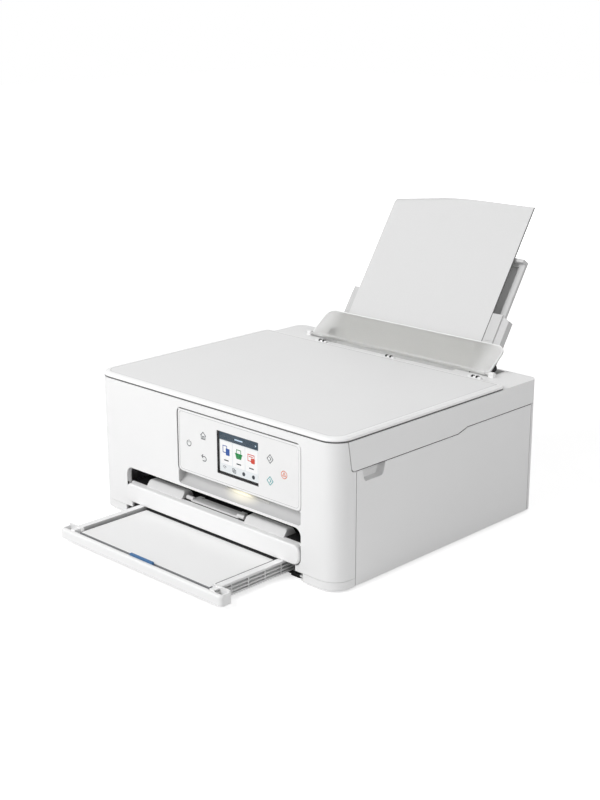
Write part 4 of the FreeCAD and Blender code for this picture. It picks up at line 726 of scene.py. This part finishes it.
def endTree(tree, points, shape, finish):
    laid = addNode(tree, "GeometryNodeInstanceOnPoints", links={"Points": points, "Instance": shape})
    real = addNode(tree, "GeometryNodeRealizeInstances", links={0: laid.outputs[0]})
    inked = addNode(tree, "GeometryNodeSetMaterial", links={"Geometry": real.outputs[0], "Material": finish})
    addNode(tree, "NodeGroupOutput", links={0: inked.outputs[0]})
    return tree


# packs of paper: the leaves lie on a line of points, each a little out of line
def leafTree():
    tree, given = startTree("leafStack", {
        "Width": "Float", "Length": "Float", "Leaf": "Float", "Pitch": "Float", "Count": "Int", "Shift": "Float",
        "Seed": "Int", "Across": "Int", "Along": "Int", "Paper": "Material"})
    step = addNode(tree, "ShaderNodeCombineXYZ", links={"Z": given["Pitch"]})
    line = addNode(tree, "GeometryNodeMeshLine", links={"Count": given["Count"], "Offset": step.outputs[0]})
    size = addNode(tree, "ShaderNodeCombineXYZ", links={"X": given["Width"], "Y": given["Length"],
                                                        "Z": given["Leaf"]})
    leaf = addNode(tree, "GeometryNodeMeshCube", links={"Size": size.outputs[0], "Vertices X": given["Across"],
                                                        "Vertices Y": given["Along"]})
    most = addNode(tree, "ShaderNodeCombineXYZ", links={"X": given["Shift"], "Y": given["Shift"]})
    least = addNode(tree, "ShaderNodeVectorMath", {"operation": "SCALE", "Scale": -1.0}, {0: most.outputs[0]})
    chance = addNode(tree, "FunctionNodeRandomValue", {"data_type": "FLOAT_VECTOR"},
                     {0: least.outputs[0], 1: most.outputs[0], "Seed": given["Seed"]})
    moved = addNode(tree, "GeometryNodeSetPosition", links={"Geometry": line.outputs[0], "Offset": chance.outputs[0]})
    return endTree(tree, moved.outputs[0], leaf.outputs[0], given["Paper"])


# runs a tree on an empty mesh and gives back the plain mesh that it makes
def meshFrom(tree, name, values):
    holder = bpy.data.objects.new(name + "Source", bpy.data.meshes.new(name + "Source"))
    bpy.context.scene.collection.objects.link(holder)
    modifier = holder.modifiers.new("make", "NODES")
    modifier.node_group = tree
    for item in tree.interface.items_tree:
        if item.in_out == "INPUT":
            modifier[item.identifier] = values[item.name]
    graph = bpy.context.evaluated_depsgraph_get()
    mesh = bpy.data.meshes.new_from_object(holder.evaluated_get(graph))
    holder.modifiers.remove(modifier)
    bpy.data.objects.remove(holder)
    mesh.name = name
    return mesh


# nearly white strip round the frosted cover's rim, a painted highlight
cover = {"left": 53.0, "right": 331.5, "length": 41.4, "slope": 37.2, "y": 304.0, "z": 163.0, "inset": 0.8,
         "corners": (4.2, 11.2), "width": 1.4, "seat": 0.9, "thick": 0.35}


# a point on a plane that slopes up to the rear: s along the slope, n out of it
def onSlope(plane, x, s, n):
    tilt = math.radians(plane["slope"])
    return spot(x, plane["y"] + s * math.cos(tilt) - n * math.sin(tilt),
                plane["z"] + s * math.sin(tilt) + n * math.cos(tilt))


bm = bmesh.new()
addStroke(bm, planOutline(cover["left"] + cover["inset"], cover["right"] - cover["inset"], cover["inset"],
                          cover["length"] - cover["inset"], *cover["corners"]), cover["width"], cover["seat"],
          cover["thick"], True, lambda x, s, n: onSlope(cover, x, s, n))
newPiece("coverPaintedHighlight", bm, "slot_cover", paintedRimHighlight)

leaves = leafTree()
# loaded behind the slot cover: leans back, and its top left corner rolls away
pack = {"width": 210.0, "length": 297.0, "leaf": 0.17, "pitch": 0.25, "count": 6, "shift": 0.14, "seed": 4,
        "across": 43, "along": 150, "below": -95.0, "back": 1.5, "slope": 57.0, "y": 324.5, "z": 165.0, "top": 202.0,
        "roll": 8.0, "rollDrop": 17.5, "rollAcross": 0.64}
mesh = meshFrom(leaves, "rearPack", {
    "Width": pack["width"] * mm, "Length": pack["length"] * mm, "Leaf": pack["leaf"] * mm, "Pitch": pack["pitch"] * mm,
    "Count": pack["count"], "Shift": pack["shift"] * mm, "Seed": pack["seed"], "Across": pack["across"],
    "Along": pack["along"], "Paper": paper})
for vert in mesh.vertices:
    across = vert.co.x / mm / pack["width"] + 0.5
    s = vert.co.y / mm + pack["length"] / 2 + pack["below"]
    n = vert.co.z / mm + pack["leaf"] / 2 - pack["back"]
    start = pack["top"] - pack["rollDrop"] * max(0.0, 1 - across / pack["rollAcross"])
    turn = max(0.0, s - start) / pack["roll"] if across < pack["rollAcross"] else 0.0
    if turn:
        s = start + (pack["roll"] + n) * math.sin(turn)
        n = (pack["roll"] + n) * math.cos(turn) - pack["roll"]
    vert.co = onSlope(pack, layout["width"] / 2 + vert.co.x / mm, s, n)
rearPack = meshPiece("rearPack", mesh, "sheet")
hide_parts("rear_paper")

# flat in the cassette, filling the height of its node
stack = {"leaf": 0.3, "pitch": 0.36, "shift": 0.1, "trim": 0.3, "seed": 9, "cuts": 2}
low, high = layoutBox("cassette_paper")
mesh = meshFrom(leaves, "drawerPack", {
    "Width": (high[0] - low[0] - stack["trim"]) * mm, "Length": (high[1] - low[1] - stack["trim"]) * mm,
    "Leaf": stack["leaf"] * mm, "Pitch": stack["pitch"] * mm, "Shift": stack["shift"] * mm, "Seed": stack["seed"],
    "Count": int((high[2] - low[2] - stack["leaf"]) / stack["pitch"]) + 1,
    "Across": stack["cuts"], "Along": stack["cuts"], "Paper": drawerPaperPaintedShade})
middle = spot((low[0] + high[0]) / 2, (low[1] + high[1]) / 2, low[2] + stack["leaf"] / 2)
for vert in mesh.vertices:
    vert.co = vert.co + middle
drawerPack = meshPiece("drawerPack", mesh, "cassette")
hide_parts("cassette_paper")
print("paper packs made")

# grey sheet of painted shade in the support extension's channel
channel = {"x": (95.2, 295.8), "s": (8.2, 128.8), "n": (-13.8, -13.4)}
bm = bmesh.new()
for vert in bmesh.ops.create_cube(bm, size=1.0)["verts"]:
    vert.co = onSlope(pack, *[channel[key][1 if vert.co[i] > 0 else 0] for i, key in enumerate(("x", "s", "n"))])
newPiece("channelPaintedShade", bm, "extension", paintedShadeAbs)


# lid hinges: pairs of small dark bushes, set out along each hinge line
def bushTree():
    tree, given = startTree("hingeBushes", {"Start": "Vector", "Step": "Vector", "Count": "Int", "Radius": "Float",
                                            "Depth": "Float", "Finish": "Material"})
    line = addNode(tree, "GeometryNodeMeshLine", links={"Count": given["Count"], "Start Location": given["Start"],
                                                        "Offset": given["Step"]})
    bush = addNode(tree, "GeometryNodeMeshCylinder", {"Vertices": 20}, {"Radius": given["Radius"],
                                                                       "Depth": given["Depth"]})
    turned = addNode(tree, "GeometryNodeTransform", {"Rotation": (0.0, math.pi / 2, 0.0)},
                     {"Geometry": bush.outputs[0]})
    return endTree(tree, line.outputs[0], turned.outputs[0], given["Finish"])


hinge = {"x": (94.0, 203.0, 331.0), "y": 279.0, "z": 164.0, "count": 2, "spread": 6.4, "radius": 2.45, "depth": 2.6}
bushes = bushTree()
for number, x in enumerate(hinge["x"]):
    name = "hingeBushes" + str(number + 1)
    mesh = meshFrom(bushes, name, {
        "Start": spot(x - hinge["spread"] / 2, hinge["y"], hinge["z"]), "Step": Vector((hinge["spread"] * mm, 0, 0)),
        "Count": hinge["count"], "Radius": hinge["radius"] * mm, "Depth": hinge["depth"] * mm, "Finish": blackAbs})
    meshPiece(name, mesh, "lid")
print("hinge bushes made")

# studio: white world for what the camera and reflections see, softer light on the object
studio = {"ambient": 0.36, "floorTone": "#e2e2e2", "floorLift": (0.6, 1.0), "floorFade": (0.75, 1.9),
          "floorHalf": 6.0}
world = bpy.data.worlds.new("studioWorld")
bpy.context.scene.world = world
world.use_nodes = True
tree = world.node_tree
tree.nodes.clear()
path = addNode(tree, "ShaderNodeLightPath")
seen = addNode(tree, "ShaderNodeMath", {"operation": "MAXIMUM"}, {0: path.outputs["Is Camera Ray"],
                                                                 1: path.outputs["Is Glossy Ray"]})
seen = addNode(tree, "ShaderNodeMath", {"operation": "MAXIMUM"}, {0: seen.outputs[0],
                                                                 1: path.outputs["Is Transmission Ray"]})
level = addNode(tree, "ShaderNodeMapRange", {"To Min": studio["ambient"], "To Max": 1.0}, {"Value": seen.outputs[0]})
sky = addNode(tree, "ShaderNodeBackground", {"Color": (1.0, 1.0, 1.0, 1.0)}, {"Strength": level.outputs[0]})
addNode(tree, "ShaderNodeOutputWorld", links={"Surface": sky.outputs[0]})

# floor: the camera sees it lifted towards white, fully so far from the object
floorMaterial = bpy.data.materials.new("studioFloor")
floorMaterial.use_nodes = True
tree = floorMaterial.node_tree
tree.nodes.clear()
path = addNode(tree, "ShaderNodeLightPath")
ground = addNode(tree, "ShaderNodeTexCoord")
away = addNode(tree, "ShaderNodeVectorMath", {"operation": "LENGTH"}, {0: ground.outputs["Object"]})
fade = addNode(tree, "ShaderNodeMapRange", {"interpolation_type": "SMOOTHSTEP", "From Min": studio["floorFade"][0],
                                            "From Max": studio["floorFade"][1], "To Min": studio["floorLift"][0],
                                            "To Max": studio["floorLift"][1]}, {"Value": away.outputs["Value"]})
lift = addNode(tree, "ShaderNodeMath", {"operation": "MULTIPLY"}, {0: path.outputs["Is Camera Ray"],
                                                                  1: fade.outputs[0]})
matt = addNode(tree, "ShaderNodeBsdfDiffuse", {"Color": linear(studio["floorTone"])})
shine = addNode(tree, "ShaderNodeEmission", {"Color": (1.0, 1.0, 1.0, 1.0)}, {"Strength": lift.outputs[0]})
both = addNode(tree, "ShaderNodeAddShader", links={0: matt.outputs[0], 1: shine.outputs[0]})
addNode(tree, "ShaderNodeOutputMaterial", links={"Surface": both.outputs[0]})
bm = bmesh.new()
bmesh.ops.create_grid(bm, x_segments=1, y_segments=1, size=studio["floorHalf"])
floorMesh = bpy.data.meshes.new("studioFloor")
bm.to_mesh(floorMesh)
bm.free()
floorMesh.materials.append(floorMaterial)
floor = bpy.data.objects.new("studioFloor", floorMesh)
bpy.context.scene.collection.objects.link(floor)

lamps = {
    "keyLamp": {"at": (-0.62, -1.85, 1.55), "size": 1.5, "power": 40.0},
    "fillLamp": {"at": (2.2, -0.3, 1.1), "size": 1.6, "power": 11.0},
    "backLamp": {"at": (0.2, 2.0, 1.9), "size": 1.4, "power": 8.0},
}
aim = Vector((0.0, 0.0, 0.1))
for name, lamp in lamps.items():
    light = bpy.data.lights.new(name, "AREA")
    light.size = lamp["size"]
    light.energy = lamp["power"]
    holder = bpy.data.objects.new(name, light)
    holder.location = lamp["at"]
    holder.rotation_euler = (aim - Vector(lamp["at"])).to_track_quat("-Z", "Y").to_euler()
    bpy.context.scene.collection.objects.link(holder)

# camera worked out from the photograph's vanishing lines
view = {"azimuth": 44.182, "elevation": 16.775, "roll": -0.0844, "at": (1246.05, -946.35, 594.59), "lens": 62.837,
        "sensor": 36.0, "clip": (0.05, 50.0)}
camera = bpy.data.cameras.new("mainCamera")
camera.lens = view["lens"]
camera.sensor_width = view["sensor"]
camera.clip_start, camera.clip_end = view["clip"]
eye = bpy.data.objects.new("mainCamera", camera)
turn = (Matrix.Rotation(math.radians(view["azimuth"]), 4, "Z")
        @ Matrix.Rotation(math.radians(90 - view["elevation"]), 4, "X")
        @ Matrix.Rotation(math.radians(view["roll"]), 4, "Z"))
eye.matrix_world = Matrix.Translation(spot(*view["at"])) @ turn
bpy.context.scene.collection.objects.link(eye)
bpy.context.scene.camera = eye
bpy.context.scene.view_settings.view_transform = "Standard"
print("studio and camera set")
